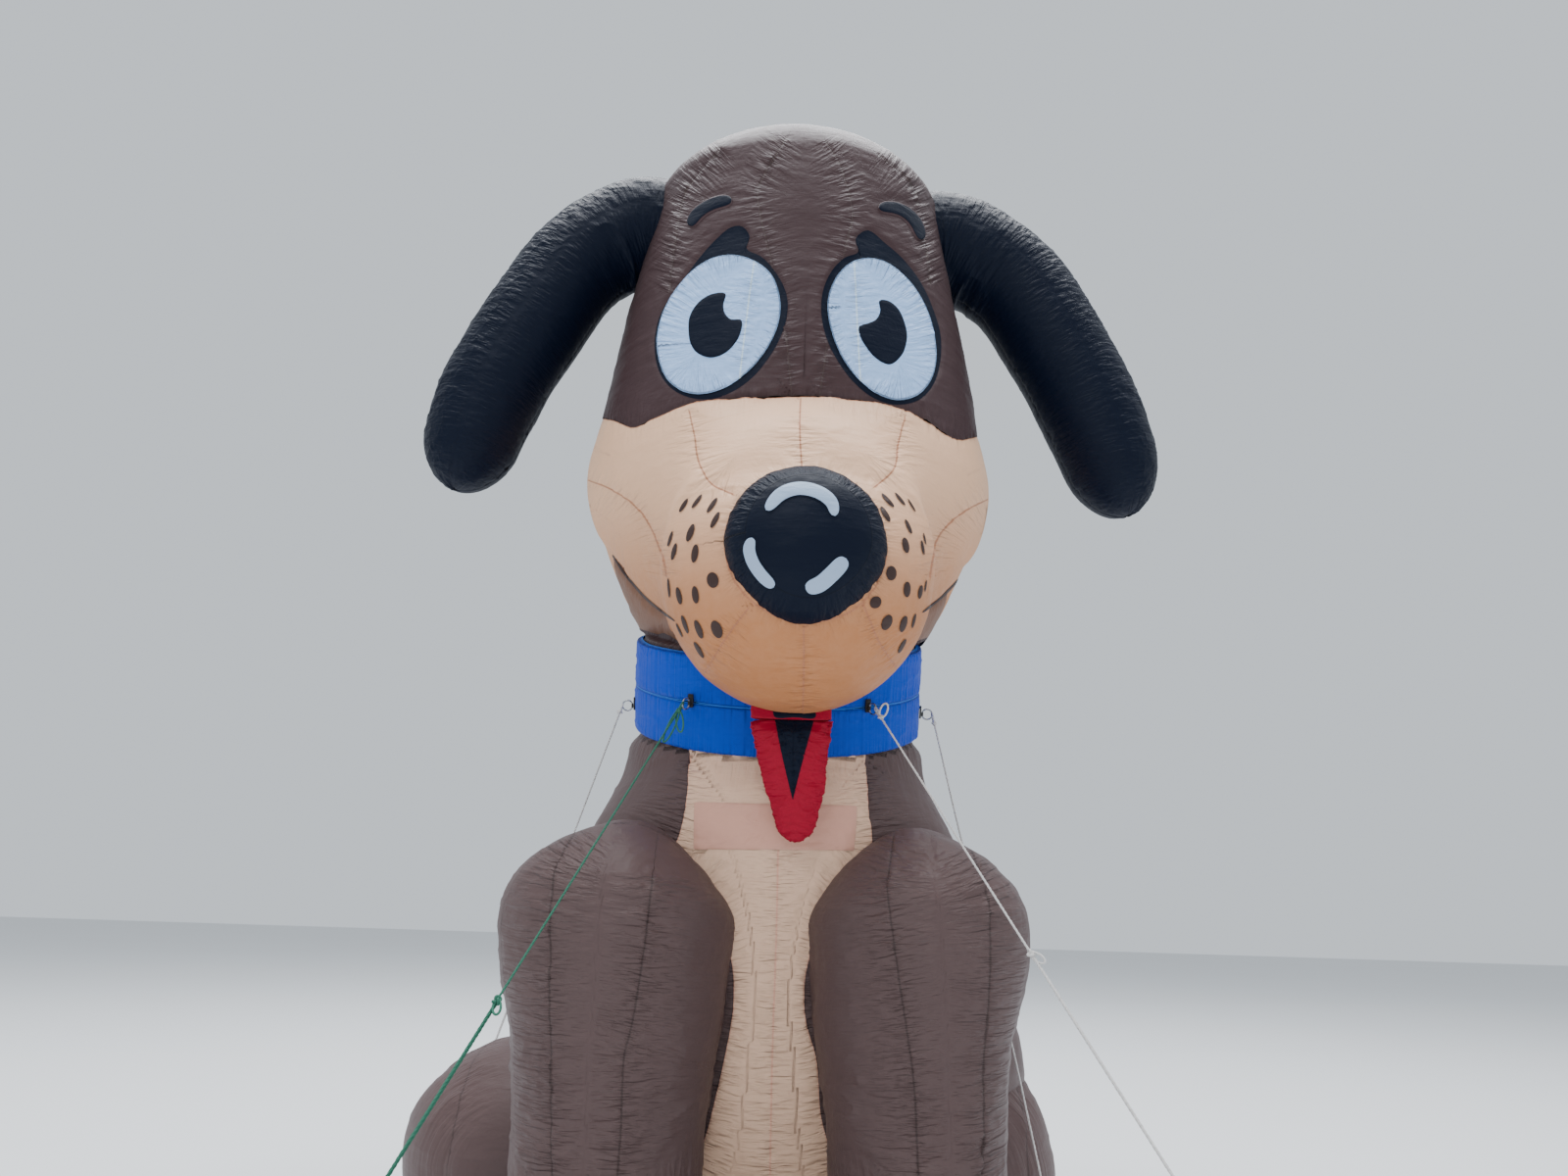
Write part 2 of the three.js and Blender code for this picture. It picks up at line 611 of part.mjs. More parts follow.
for (const { name, angle, height, ground: [groundX, groundY], by, colour } of GUYS) {
  const turn = radians(angle);
  const tabMiddle = COLLAR.radius + (TAB.thickness - TAB.sunk) / 2;
  const tabDepth = TAB.thickness + TAB.sunk;
  const tab = block(tabDepth, TAB.width, TAB.length, tabMiddle, 0, height + TAB.lift).rotateZ(turn);
  const ringRadius = COLLAR.radius + TAB.thickness + GAP + RING.radius + RING.wire;
  const ring = (wire) => new THREE.TorusGeometry(RING.radius, wire, ROUND.small / 2, ROUND.small)
    .rotateX(Math.PI / 2)
    .translate(ringRadius, 0, height)
    .rotateZ(turn);
  add(`tether_tab_${name}`, solid(tab).subtract(collarSolid), "plastic", neck);
  add(`tether_ring_${name}`, ring(RING.wire), "steel", neck);
  const ropeRadius = ringRadius + RING.radius;
  const start = new THREE.Vector3(Math.cos(turn) * ropeRadius, Math.sin(turn) * ropeRadius, height)
    .applyMatrix4(neckMatrix);
  const end = new THREE.Vector3(groundX, groundY, STAKE.height - ROPE.aboveStake);
  const path = new THREE.CatmullRomCurve3([start, ...by.map((p) => new THREE.Vector3(...p)), end]);
  const rope = solid(new THREE.ExtrudeGeometry(ropeSection, {
    steps: by.length ? ROPE.curvedSteps : 1,
    extrudePath: path,
    bevelEnabled: false,
    curveSegments: ROPE.segments,
  }));
  const ringRoom = solid(ring(RING.wire + GAP).applyMatrix4(neckMatrix));
  const stakeRoom = solid(stake(groundX, groundY, GAP));
  add(`guy_rope_${name}`, rope.subtract(stakeRoom).subtract(ringRoom), colour);
  add(`ground_stake_${name}`, stake(groundX, groundY, 0), "steel");
}

// Blower: a scroll housing on feet, its impeller, grille and motor, and the sleeve to the body
const blower = new THREE.Group();
blower.position.set(BLOWER.x, BLOWER.y, BLOWER.z);
dog.add(blower);

// A prism over a side outline of y and z, from xLow to xHigh.
function sidePrism(shape, xLow, xHigh) {
  const options = { depth: xHigh - xLow, bevelEnabled: false, curveSegments: ROUND.small };
  return solid(new THREE.ExtrudeGeometry(shape, options)
    .rotateX(Math.PI / 2)
    .rotateZ(Math.PI / 2)
    .translate(xLow, 0, 0));
}

// A disc or drum about the impeller's axis, which lies along X.
function drum(radius, xLow, xHigh, segments = ROUND.large) {
  return solid(new THREE.CylinderGeometry(radius, radius, xHigh - xLow, segments)
    .rotateZ(Math.PI / 2)
    .translate((xLow + xHigh) / 2, 0, 0));
}

// The scroll's radius closes in with the angle, which starts at the bottom and turns three quarters round.
function scrollRadius(share) {
  return BLOWER.large + (BLOWER.small - BLOWER.large) * share;
}

// The scroll's side outline: the spiral, then the outlet at the bottom front.
function scroll(less) {
  const steps = ROUND.medium;
  const points = [];
  for (let i = 0; i <= steps; i++) {
    const angle = -Math.PI / 2 + (i / steps) * 1.5 * Math.PI;
    const radius = scrollRadius(i / steps) - less;
    points.push(new THREE.Vector2(Math.cos(angle) * radius, Math.sin(angle) * radius));
  }
  points.push(new THREE.Vector2(-BLOWER.small + less, OUTLET.top - less));
  points.push(new THREE.Vector2(OUTLET.front + less, OUTLET.top - less));
  points.push(new THREE.Vector2(OUTLET.front + less, -BLOWER.large + less));
  return new THREE.Shape(points);
}

// A length of the round duct between blower and body.
function duct(radius, yFront, yBack) {
  return solid(new THREE.CylinderGeometry(radius, radius, yBack - yFront, ROUND.large)
    .translate(0, (yFront + yBack) / 2, sleeveZ - BLOWER.z));
}

function ductWall(outer, inner, yFront, yBack) {
  return duct(outer, yFront, yBack).subtract(duct(inner, yFront - OVERSHOOT, yBack + OVERSHOOT));
}

const scrollHalf = BLOWER.halfWidth;
const scrollInside = scrollHalf - BLOWER.wall;
const spigotEnd = OUTLET.front - OUTLET.spigotLength;
const spigotRadius = sleeveInside - GAP;
const spigotBore = spigotRadius - OUTLET.spigotWall;
const housing = sidePrism(scroll(0), -scrollHalf, scrollHalf)
  .add(ductWall(spigotRadius, spigotBore, spigotEnd, OUTLET.front))
  .subtract(sidePrism(scroll(BLOWER.wall), -scrollInside, scrollInside))
  .subtract(duct(spigotBore, spigotEnd - OVERSHOOT, OUTLET.front + 2 * BLOWER.wall))
  .subtract(drum(BLOWER.inlet, 0, scrollHalf + OVERSHOOT))
  .subtract(drum(SHAFT.radius + SHAFT.clearance, -scrollHalf - OVERSHOOT, 0, ROUND.small));
add("blower_housing", housing, "orange", blower);

// The impeller: a back disc, a front ring, blades between them, and its hub and shaft
const back = -IMPELLER.halfWidth;
const front = IMPELLER.halfWidth;
const ringBore = IMPELLER.radius - IMPELLER.ring;
let wheel = drum(IMPELLER.radius, back, back + IMPELLER.disc)
  .add(drum(IMPELLER.radius, front - IMPELLER.disc, front)
    .subtract(drum(ringBore, front - IMPELLER.disc - OVERSHOOT, front + OVERSHOOT)))
  .add(drum(HUB.radius, back, back + HUB.length, ROUND.medium))
  .add(drum(SHAFT.radius, -scrollHalf - SHAFT.intoMotor, back + OVERSHOOT, ROUND.small));
for (let i = 0; i < IMPELLER.blades; i++) {
  const blade = block(2 * front - 2, IMPELLER.ring - 2, IMPELLER.blade, 0, 0, 0)
    .rotateX(radians(IMPELLER.bladeTurn))
    .translate(0, IMPELLER.radius - IMPELLER.ring / 2 - 1, 0)
    .rotateX((i / IMPELLER.blades) * 2 * Math.PI);
  wheel = wheel.add(solid(blade));
}
add("blower_impeller", wheel, "steel", blower);

// The inlet grille: rings joined by bars, over the inlet
const grilleLow = scrollHalf + GAP;
const grilleHigh = grilleLow + GRILLE.thickness;

function washer(radius, width) {
  return drum(radius, grilleLow, grilleHigh, ROUND.medium)
    .subtract(drum(radius - width, grilleLow - OVERSHOOT, grilleHigh + OVERSHOOT, ROUND.medium));
}

let grille = washer(GRILLE.radius, GRILLE.radius - BLOWER.inlet + GRILLE.bar);
for (const radius of GRILLE.rings)
  grille = grille.add(washer(radius, GRILLE.bar));
for (let i = 0; i < GRILLE.bars; i++) {
  const length = 2 * (GRILLE.radius - GRILLE.bar);
  const bar = block(GRILLE.thickness, length, GRILLE.bar, (grilleLow + grilleHigh) / 2, 0, 0);
  grille = grille.add(solid(bar.rotateX((i / GRILLE.bars) * Math.PI)));
}
add("blower_grille", grille, "steel", blower);

// The motor outside the other wall, hollow where the shaft ends
const motorHigh = -scrollHalf - GAP;
const motor = drum(MOTOR.radius, motorHigh - MOTOR.length, motorHigh)
  .subtract(drum(SHAFT.radius + GAP, motorHigh - MOTOR.boss, motorHigh + OVERSHOOT, ROUND.small));
add("blower_motor", motor, "steel", blower);

// Feet along both lower edges, cut to the scroll's round underside
const scrollRoom = sidePrism(scroll(-GAP), -scrollHalf - GAP, scrollHalf + GAP);
const footX = scrollHalf - FEET.width / 2;
for (const [name, side] of SIDES) {
  const foot = block(FEET.width, FEET.depth, FEET.height, footX * side, 0, FEET.height / 2 - BLOWER.z);
  add(`blower_foot_${name}`, solid(foot).subtract(scrollRoom), "black", blower);
}

// The carrying handle over the scroll, from points below its top to the same on the other side
const scrollTop = scrollRadius(2 / 3);
const handleFoot = scrollTop - 2 * HANDLE.radius;
const handlePath = new THREE.CatmullRomCurve3([
  new THREE.Vector3(-HANDLE.halfSpan, 0, handleFoot),
  new THREE.Vector3(-HANDLE.halfSpan, 0, scrollTop + HANDLE.rise),
  new THREE.Vector3(HANDLE.halfSpan, 0, scrollTop + HANDLE.rise),
  new THREE.Vector3(HANDLE.halfSpan, 0, handleFoot),
], false, "catmullrom", HANDLE.bend);
const handleSection = new THREE.Shape().absarc(0, 0, HANDLE.radius, 0, 2 * Math.PI, false);
const handle = new THREE.ExtrudeGeometry(handleSection, {
  steps: 16,
  extrudePath: handlePath,
  bevelEnabled: false,
  curveSegments: ROUND.small / 2,
});
add("blower_handle", solid(handle).subtract(scrollRoom), "plastic", blower);

// The sleeve from the body wall over the spigot, and the strap that holds it there
const sleeveEnd = spigotEnd + STRAP.over;
const sleeve = ductWall(SLEEVE.radius, sleeveInside, SLEEVE.from - BLOWER.y, sleeveEnd);
const bodyFromBlower = solid(torsoGrown(GAP).translate(-BLOWER.x, -BLOWER.y, -BLOWER.z));
add("inflation_sleeve", sleeve.subtract(bodyFromBlower), "brown", blower);
const strapInside = SLEEVE.radius + GAP;
const strapHigh = sleeveEnd - STRAP.fromEnd;
const strap = ductWall(strapInside + STRAP.thickness, strapInside, strapHigh - STRAP.width, strapHigh);
add("sleeve_strap", strap, "black", blower);

export default dog;
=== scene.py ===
"""A giant fan-blown sitting dog of sewn nylon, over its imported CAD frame."""

import json
from math import pi, radians, tau

import bpy
import numpy as np
from mathutils import Matrix, Vector
from mathutils.bvhtree import BVHTree


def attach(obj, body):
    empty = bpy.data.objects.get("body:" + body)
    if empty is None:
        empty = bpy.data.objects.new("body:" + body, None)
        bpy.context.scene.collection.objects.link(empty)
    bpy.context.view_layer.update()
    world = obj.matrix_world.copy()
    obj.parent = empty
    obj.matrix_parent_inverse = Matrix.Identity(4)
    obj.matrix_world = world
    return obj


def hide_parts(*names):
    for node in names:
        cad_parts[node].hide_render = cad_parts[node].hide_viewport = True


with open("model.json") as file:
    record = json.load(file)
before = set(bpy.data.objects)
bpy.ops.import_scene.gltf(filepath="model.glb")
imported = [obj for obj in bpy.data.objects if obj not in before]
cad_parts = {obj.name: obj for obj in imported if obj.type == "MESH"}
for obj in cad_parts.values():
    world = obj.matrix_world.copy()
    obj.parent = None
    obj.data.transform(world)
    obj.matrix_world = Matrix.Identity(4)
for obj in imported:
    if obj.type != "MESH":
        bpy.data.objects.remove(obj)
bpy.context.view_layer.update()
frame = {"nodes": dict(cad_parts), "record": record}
SLOT_OF = {row["node"]: row["material_slot"] for row in frame["record"]["subparts"]}

# Camera: the lens in pixels of a 1600 by 1200 picture, where it stands, and how it is turned
PICTURE = np.array([1600.0, 1200.0])
LENS = 1150.0
SENSOR = 36.0
EYE = np.array([0.0, -5.9, 1.6])
PITCH = radians(16)
ROLL = radians(1.8)
CAMERA = Matrix.Translation(EYE) @ Matrix.Rotation(pi / 2 + PITCH, 4, "X") @ Matrix.Rotation(ROLL, 4, "Z")
CAMERA_AXES = np.array(CAMERA.to_3x3())

HEAD_TURN = radians(3.5)
NECK_TILT = radians(20)
NECK_CENTRE = np.array([-0.015, -0.08, 2.74])
NECK = {"radius": 0.70, "below": 0.52}
COLLAR = {"radius": 0.742, "half_height": 0.232}
TIES = (radians(-123), radians(-55))

# Stations of each form: centre x, y, z and two half sizes
TORSO = [
    [0, 0.42, 0, 0.90, 0.70],
    [0, 0.40, 0.28, 1.15, 0.90],
    [0, 0.34, 0.80, 1.30, 0.96],
    [0, 0.18, 1.40, 1.15, 0.89],
    [-0.02, 0.01, 1.98, 0.915, 0.77],
    [-0.02, 0.035, 2.26, 0.78, 0.725],
    [-0.015, 0.02, 2.56, 0.735, 0.70],
]
HEAD = [
    [0, -0.14, 2.83, 0.56, 0.56],
    [0, -0.12, 3.00, 0.74, 0.74],
    [0, -0.08, 3.40, 0.94, 0.88],
    [0, -0.05, 3.82, 1.075, 0.925],
    [0, -0.04, 4.24, 1.02, 0.925],
    [0, -0.04, 4.70, 0.945, 0.915],
    [0, -0.05, 5.20, 0.85, 0.88],
    [0, -0.06, 5.60, 0.81, 0.82],
    [0, -0.06, 5.94, 0.79, 0.79],
]
SNOUT = [
    [0, -0.43, 3.42, 0.56, 0.62],
    [0, -0.78, 3.24, 0.61, 0.68],
    [0, -1.08, 3.05, 0.608, 0.632],
    [0, -1.50, 2.99, 0.57, 0.54],
]
EARS = {
    "left": [
        [-0.70, -0.16, 5.33, 0.29, 0.30],
        [-0.90, -0.17, 5.32, 0.30, 0.30],
        [-1.20, -0.18, 5.11, 0.28, 0.30],
        [-1.44, -0.19, 4.69, 0.278, 0.30],
        [-1.64, -0.19, 4.24, 0.272, 0.285],
        [-1.77, -0.19, 3.69, 0.225, 0.23],
    ],
    "right": [
        [0.70, -0.16, 5.36, 0.29, 0.30],
        [0.90, -0.17, 5.36, 0.305, 0.30],
        [1.24, -0.18, 5.15, 0.29, 0.30],
        [1.50, -0.19, 4.73, 0.282, 0.30],
        [1.71, -0.19, 4.27, 0.275, 0.285],
        [1.86, -0.19, 3.74, 0.222, 0.23],
    ],
}
FRONT_LEGS = {
    "left": [
        [-0.64, -0.60, 1.975, 0.33, 0.38],
        [-0.69, -0.66, 1.54, 0.52, 0.47],
        [-0.665, -0.70, 1.10, 0.455, 0.43],
        [-0.665, -0.72, 0.70, 0.405, 0.40],
        [-0.665, -0.73, 0.25, 0.395, 0.39],
    ],
    "right": [
        [0.60, -0.60, 1.975, 0.33, 0.38],
        [0.64, -0.66, 1.54, 0.49, 0.47],
        [0.615, -0.70, 1.10, 0.425, 0.43],
        [0.625, -0.72, 0.70, 0.37, 0.40],
        [0.635, -0.73, 0.25, 0.37, 0.39],
    ],
}
PAW_SEAM = 0.48
FRONT_PAW = [
    [0.655, -0.33, 0.23, 0.37, 0.23],
    [0.665, -0.80, 0.245, 0.45, 0.26],
    [0.675, -1.33, 0.19, 0.44, 0.20],
]
HIND_FOOT = [
    [0, 0.52, 0.21, 0.30, 0.21],
    [0, 0.12, 0.225, 0.33, 0.225],
    [0, -0.30, 0.19, 0.32, 0.19],
]
HAUNCHES = {
    "left": {"centre": (-1.13, 0.26, 0.44), "half": (0.65, 0.64, 0.53), "foot_x": -1.35},
    "right": {"centre": (0.90, 0.26, 0.44), "half": (0.51, 0.62, 0.58), "foot_x": 1.13},
}
TAIL = [
    [0, 1.10, 0.42, 0.19, 0.19],
    [0, 1.50, 0.48, 0.18, 0.18],
    [0.06, 1.80, 0.76, 0.16, 0.16],
    [0.09, 1.90, 1.18, 0.12, 0.12],
]
NOSE = {"centre": (0, -1.40, 3.08), "half": (0.345, 0.21, 0.35)}
TONGUE = [
    [0.050, -0.905, 2.432, 0.196, 0.032],
    [0.0545, -0.905, 2.372, 0.182, 0.032],
    [0.062, -0.905, 2.264, 0.164, 0.032],
    [0.077, -0.905, 2.115, 0.135, 0.032],
    [0.0825, -0.905, 1.98, 0.097, 0.031],
    [0.082, -0.905, 1.885, 0.074, 0.030],
]
HINGE_HEIGHT = 2.40
TONGUE_Y = TONGUE[0][1]
HEM = {"x": 0.050, "half_width": 0.180, "half_depth": 0.021, "over_roll": 0.0288, "roll_room": 0.021}

# The air that fills the tongue: size of its cells, pressure, and the most that a place is moved
AIR = {"voxel": 0.008, "pressure": 4.0, "most": 0.012}

# Guy ropes: angle round the collar and height on it, stake, points passed, share of the way to the hitch,
# and the bows at the ring as a lean and a length
GUYS = {
    "front_left": {
        "angle": -123, "height": 0, "ground": (-1.5, -2.3), "by": [], "hitch": 0.522,
        "bows": [((-0.05, 0.1, -0.35), 0.17), ((0.55, 0, -0.2), 0.12)],
    },
    "front_right": {
        "angle": -55, "height": 0, "ground": (1.74, -2.1), "by": [], "hitch": 0.434,
        "bows": [((-0.2, 0, 1.3), 0.075)],
    },
    "rear_left": {"angle": -170, "height": -0.11, "ground": (-2.1, 2.6), "by": [], "hitch": 0.45, "bows": []},
    "rear_right": {
        "angle": -9, "height": -0.11, "ground": (1.26, -0.64), "hitch": 0, "bows": [],
        "by": [(0.905, -0.24, 1.99), (1.06, -0.33, 1.30)],
    },
}
ROPE = {"radius": 0.0052, "pitch": 0.060}
SLEEVE = {
    "x": -0.56, "z": 0.1275, "front": 1.16, "back": 1.712, "radius": 0.108,
    "tie": 1.683, "strap_width": 0.038, "buckle_turn": 0.9,
}
BLOWER = {
    "x": -0.56, "y": 2.03, "z": 0.265, "large": 0.235, "small": 0.165, "half_width": 0.130, "grip": 0.2693,
}

# Turned pieces, as rows of radius and height
STAKE = [
    (0.0, 0.0), (0.0080, 0.0), (0.0088, 0.002), (0.0088, 0.056), (0.0078, 0.060), (0.0078, 0.106),
    (0.0088, 0.108), (0.0090, 0.112), (0.0086, 0.117), (0.0060, 0.1195), (0.0, 0.120),
]
SCREW = [
    (0, 0), (0.0085, 0), (0.0085, 0.0012), (0.0058, 0.0016), (0.0058, 0.0044), (0.0046, 0.0052),
    (0.0016, 0.0052), (0.0014, 0.0036), (0, 0.0036),
]
TO_X = Matrix.Rotation(pi / 2, 4, "Y")

FRONT = -pi / 2
SIGN = {"left": -1, "right": 1}

# Height of the sewn line near the ground, and how strongly all the sewing puckers
BASE_SEAM = 0.05
PUCKER_STRENGTH = 1.6

# Stitches: how far apart their puckers are, how deep, and how far these reach
STITCHES = {
    "face": (0.045, 0.004, 0.06),
    "crown_front": (0.038, 0.0065, 0.055),
    "crown_back": (0.045, 0.005, 0.06),
    "mouth": (0.05, 0.004, 0.07),
    "muzzle": (0.035, 0.0038, 0.06),
    "nose_edge": (0.035, 0.006, 0.045),
    "cheek_end": (0.06, 0.004, 0.06),
    "eye_edge": (0.028, 0.0030, 0.06),
    "eye_middle": (0.030, 0.0030, 0.08),
    "wedge_edge": (0.028, 0.0014, 0.06),
    "ear": (0.035, 0.0035, 0.06),
    "neck": (0.045, 0.004, 0.05),
    "collar_edge": (0.040, 0.0030, 0.050),
    "belly_edge": (0.05, 0.006, 0.11),
    "belly_middle": (0.04, 0.0055, 0.11),
    "torso": (0.055, 0.006, 0.09),
    "neck_foot": (0.05, 0.004, 0.10),
    "leg_front": (0.050, 0.0075, 0.12),
    "leg_back": (0.065, 0.007, 0.08),
    "paw": (0.06, 0.007, 0.08),
    "toe": (0.05, 0.006, 0.06),
    "hind_toe": (0.05, 0.005, 0.05),
    "haunch_round": (0.065, 0.007, 0.09),
    "haunch_side": (0.065, 0.006, 0.08),
    "base": (0.06, 0.006, 0.06),
    "tail": (0.05, 0.005, 0.05),
    "tongue": (0.030, 0.0030, 0.04),
    "sleeve": (0.03, 0.003, 0.04),
}

# What a surface's data says after its place: distance from the nearest seam, nearness to one, tone (painted
# shade on the tan face), place along that seam, and how strongly it gathers the cloth
COLUMNS = ("seam", "near", "tone", "run", "pull")

# Lines of the sewing, in pixels of the picture
FACE_SEAM = [
    (560, 430), (621, 428), (646, 436), (665, 428), (683, 420), (703, 412), (727, 408), (762, 406),
    (815, 404), (859, 407), (903, 412), (932, 422), (950, 433), (970, 446), (982, 449), (996, 446),
    (1060, 446),
]
MOUTH_LINE = [
    (560, 520), (600, 541), (628, 569), (650, 602), (667, 619), (686, 632), (720, 650), (816, 660),
    (900, 650), (941, 624), (955, 613), (971, 597), (998, 566), (1060, 520),
]
MOUTH_SEEN = {
    "left": [(625, 566), (635, 582), (647, 597), (659, 610), (673, 622), (689, 634)],
    "right": [(941, 625), (950, 618), (960, 610), (970, 600), (979, 590)],
}
CROWN_SEAMS = [
    [(803, 142), (780, 180), (774, 194), (776, 218), (786, 262), (800, 330), (808, 404)],
    [(841, 144), (856, 168), (864, 192), (869, 222), (865, 240), (852, 300), (836, 404)],
    [(737, 152), (712, 180), (700, 198), (691, 245), (684, 300)],
    [(895, 159), (921, 181), (932, 196), (939, 228), (948, 290)],
]
MUZZLE_SEAMS = [
    [(704, 421), (711, 451), (715, 473), (727, 495), (749, 506)],
    [(923, 427), (916, 451), (911, 479), (892, 498)],
    [(602, 490), (623, 498), (645, 512), (664, 534), (678, 566), (682, 588)],
    [(1007, 509), (985, 520), (966, 534), (952, 556), (947, 588)],
    [(817, 406), (816, 440), (818, 480)],
    [(820, 640), (820, 680), (819, 730)],
    [(764, 621), (753, 635), (741, 652), (731, 668), (718, 690)],
    [(880, 618), (886, 632), (893, 649), (901, 663), (915, 683)],
]

# Marks on the snout: place in the picture, half width, half height, and lean to the right in degrees
MARKS = {
    "left": [
        (698, 516, 2.0, 8.0, 32), (711.5, 512, 1.9, 8.6, 37), (727, 516, 2.2, 9.1, 35),
        (730, 531, 2.6, 9.1, 27), (705, 544, 3.1, 9.4, 20), (684.3, 550, 1.5, 8.1, 17),
        (688.3, 563, 2.2, 8.9, 14), (709.5, 565, 3.4, 9.4, 9), (727.7, 592, 6.0, 8.0, -10),
        (683, 600, 1.1, 9.9, -5), (693.3, 608, 2.6, 9.0, -12), (710, 607, 3.4, 8.9, -8),
        (699.3, 637, 2.1, 9.7, -19), (693.6, 643, 1.0, 7.8, -25), (713.4, 642, 3.1, 10, -21),
        (731.8, 642, 5.2, 9.4, -22), (713.6, 663, 2.2, 9.5, -31),
    ],
    "right": [
        (905.5, 511, 2.1, 9.3, -42), (918, 509.6, 1.5, 8.3, -39), (929.8, 516, 0.9, 7.8, -31),
        (903, 525, 2.6, 9.1, -32), (926.5, 537.6, 1.8, 8.0, -24), (923.6, 556.6, 3.3, 8.0, -12),
        (943, 550, 0.8, 6.2, -12), (941, 559, 1.3, 7.6, -10), (909, 585, 5.3, 7.4, 0),
        (925, 601.5, 3.6, 7.9, 3), (938.7, 604, 2.2, 7.0, 10), (944, 598, 0.8, 6.3, 9),
        (893, 614.6, 5.6, 6.5, 30), (904.5, 635, 5.0, 8.3, 24), (921.4, 636.6, 3.3, 8.7, 17),
        (932, 633.5, 1.4, 7.6, 14), (920, 659, 2.0, 8.2, 28),
    ],
}
SHINES = [
    ([(782, 521), (797, 505), (815, 499), (835, 503), (848, 513), (852, 527)], 6.5),
    ([(768, 549), (765, 560), (768, 572), (777, 586), (790, 599)], 6.0),
    ([(822, 601), (836, 596), (848, 586), (863, 570)], 8.0),
]
BELLY_EDGE = [
    (704, 740), (703, 780), (698, 830), (689, 876), (707, 897), (725, 922), (741, 960), (747, 983),
    (748, 1031), (740, 1076), (731, 1117), (722, 1153), (705, 1200), (690, 1240), (870, 1240), (853, 1200),
    (847, 1174), (838, 1139), (833, 1081), (822, 1040), (822, 996), (831, 960), (845, 928), (866, 900),
    (888, 876), (886, 820), (883, 780), (883, 742),
]
BELLY_SEAM = [(796, 768), (794, 870), (792, 960), (788, 1080), (785, 1240)]
BANNER_EDGE = [
    (709, 819), (711, 818.8), (790, 821), (872, 822.6), (874, 823), (874, 825), (873, 846), (871.2, 866),
    (871, 868), (869, 868), (790, 867), (710, 866.2), (708, 866), (708, 864), (708.4, 842), (708.8, 821),
]
WEDGE = [
    (790.2, 732.5), (797, 732.2), (811, 732.4), (825, 732.8), (830.8, 733.0), (830.2, 736), (823, 762),
    (816, 788), (809.6, 814), (809, 816.5), (808.3, 814), (801, 784), (795, 757), (790.8, 735),
]
HEM_WEDGE = [
    (787, 717), (800, 716), (822, 716), (834, 718), (833, 724), (831.5, 732.4), (811, 732.2),
    (790.5, 731.8), (788, 723),
]
LEG_SEAMS = {
    "left": [
        [(590, 842), (570, 880), (562, 930), (561, 1000), (563, 1080), (562, 1200)],
        [(666, 893), (657, 969), (645, 1045), (637, 1077), (634, 1140), (630, 1200)],
    ],
    "right": [
        [(912, 854), (906, 900), (912, 960), (922, 1030), (932, 1100), (937, 1200)],
        [(990, 862), (1008, 920), (1010, 990), (1004, 1080), (1003, 1200)],
    ],
}


# Numbers, curves and forms


def noise(x, y=0.0, z=0.0, seed=0):
    """Smooth noise from -1 to 1 at each place."""
    x, y, z = np.broadcast_arrays(np.asarray(x, float), y, z)
    cells = [np.floor(v).astype(np.int64) for v in (x, y, z)]
    parts = [v - cell for v, cell in zip((x, y, z), cells)]
    parts = [f * f * (3 - 2 * f) for f in parts]
    total = np.zeros(x.shape)
    for corner in range(8):
        steps = (corner & 1, corner >> 1 & 1, corner >> 2)
        weight = np.ones(x.shape)
        hashed = np.full(x.shape, seed * 2654435, np.int64)
        for step, f, cell, factor in zip(steps, parts, cells, (73856093, 19349663, 83492791)):
            weight = weight * (f if step else 1 - f)
            hashed = hashed ^ ((cell + step) * factor)
        hashed = (hashed ^ (hashed >> 13)) * 1274126177
        hashed = hashed ^ (hashed >> 16)
        total += weight * ((hashed & 0xFFFF) / 32767.5 - 1)
    return total


def smooth(low, high, x):
    t = np.clip((x - low) / (high - low), 0, 1)
    return t * t * (3 - 2 * t)


def unit(v):
    return v / np.maximum(np.linalg.norm(v, axis=-1, keepdims=True), 1e-9)


def spline(points):
    """A centripetal Catmull-Rom curve through points, as a function of 0 to 1."""
    points = np.asarray(points, float)
    whole = np.vstack([2 * points[0] - points[1], points, 2 * points[-1] - points[-2]])
    steps = np.maximum(np.linalg.norm(np.diff(whole, axis=0), axis=1) ** 0.5, 1e-4)
    count = len(points) - 1

    def at(t):
        spot = np.clip(np.asarray(t, float), 0, 1) * count
        i = np.minimum(spot.astype(int), count - 1)
        w = (spot - i)[..., None]
        a, b, c, d = (whole[i + k] for k in range(4))
        da, db, dc = (steps[i + k][..., None] for k in range(3))
        start = ((b - a) / da - (c - a) / (da + db) + (c - b) / db) * db
        end = ((c - b) / db - (d - b) / (db + dc) + (d - c) / dc) * db
        bend = 2 * b - 2 * c + start + end
        return b + w * (start + w * (-3 * b + 3 * c - 2 * start - end + w * bend))

    return at


def smooth_line(points, count, closed=False):
    """Evenly spaced points along a curve through points."""
    points = np.asarray(points, float)
    low, high = 0.0, 1.0
    if closed:
        spans = len(points) + 3
        points = np.vstack([points[-2:], points, points[:2]])
        low, high = 2 / spans, 1 - 1 / spans
    dense = spline(points)(np.linspace(low, high, 40 * len(points)))
    run = np.r_[0, np.cumsum(np.linalg.norm(np.diff(dense, axis=0), axis=1))]
    at = np.linspace(0, run[-1], count + 1 if closed else count)
    line = np.stack([np.interp(at, run, dense[:, k]) for k in range(dense.shape[1])], axis=1)
    return line[:-1] if closed else line


def bent(value, power):
    """A value raised to a power, with its sign kept."""
    return np.sign(value) * np.abs(value) ** power


def ring_of(count):
    """Even angles all the way round."""
    return np.arange(count) / count * tau


def off(around, turn):
    """How far angles are from a turn, from -pi to pi."""
    return (around - turn + pi) % tau - pi


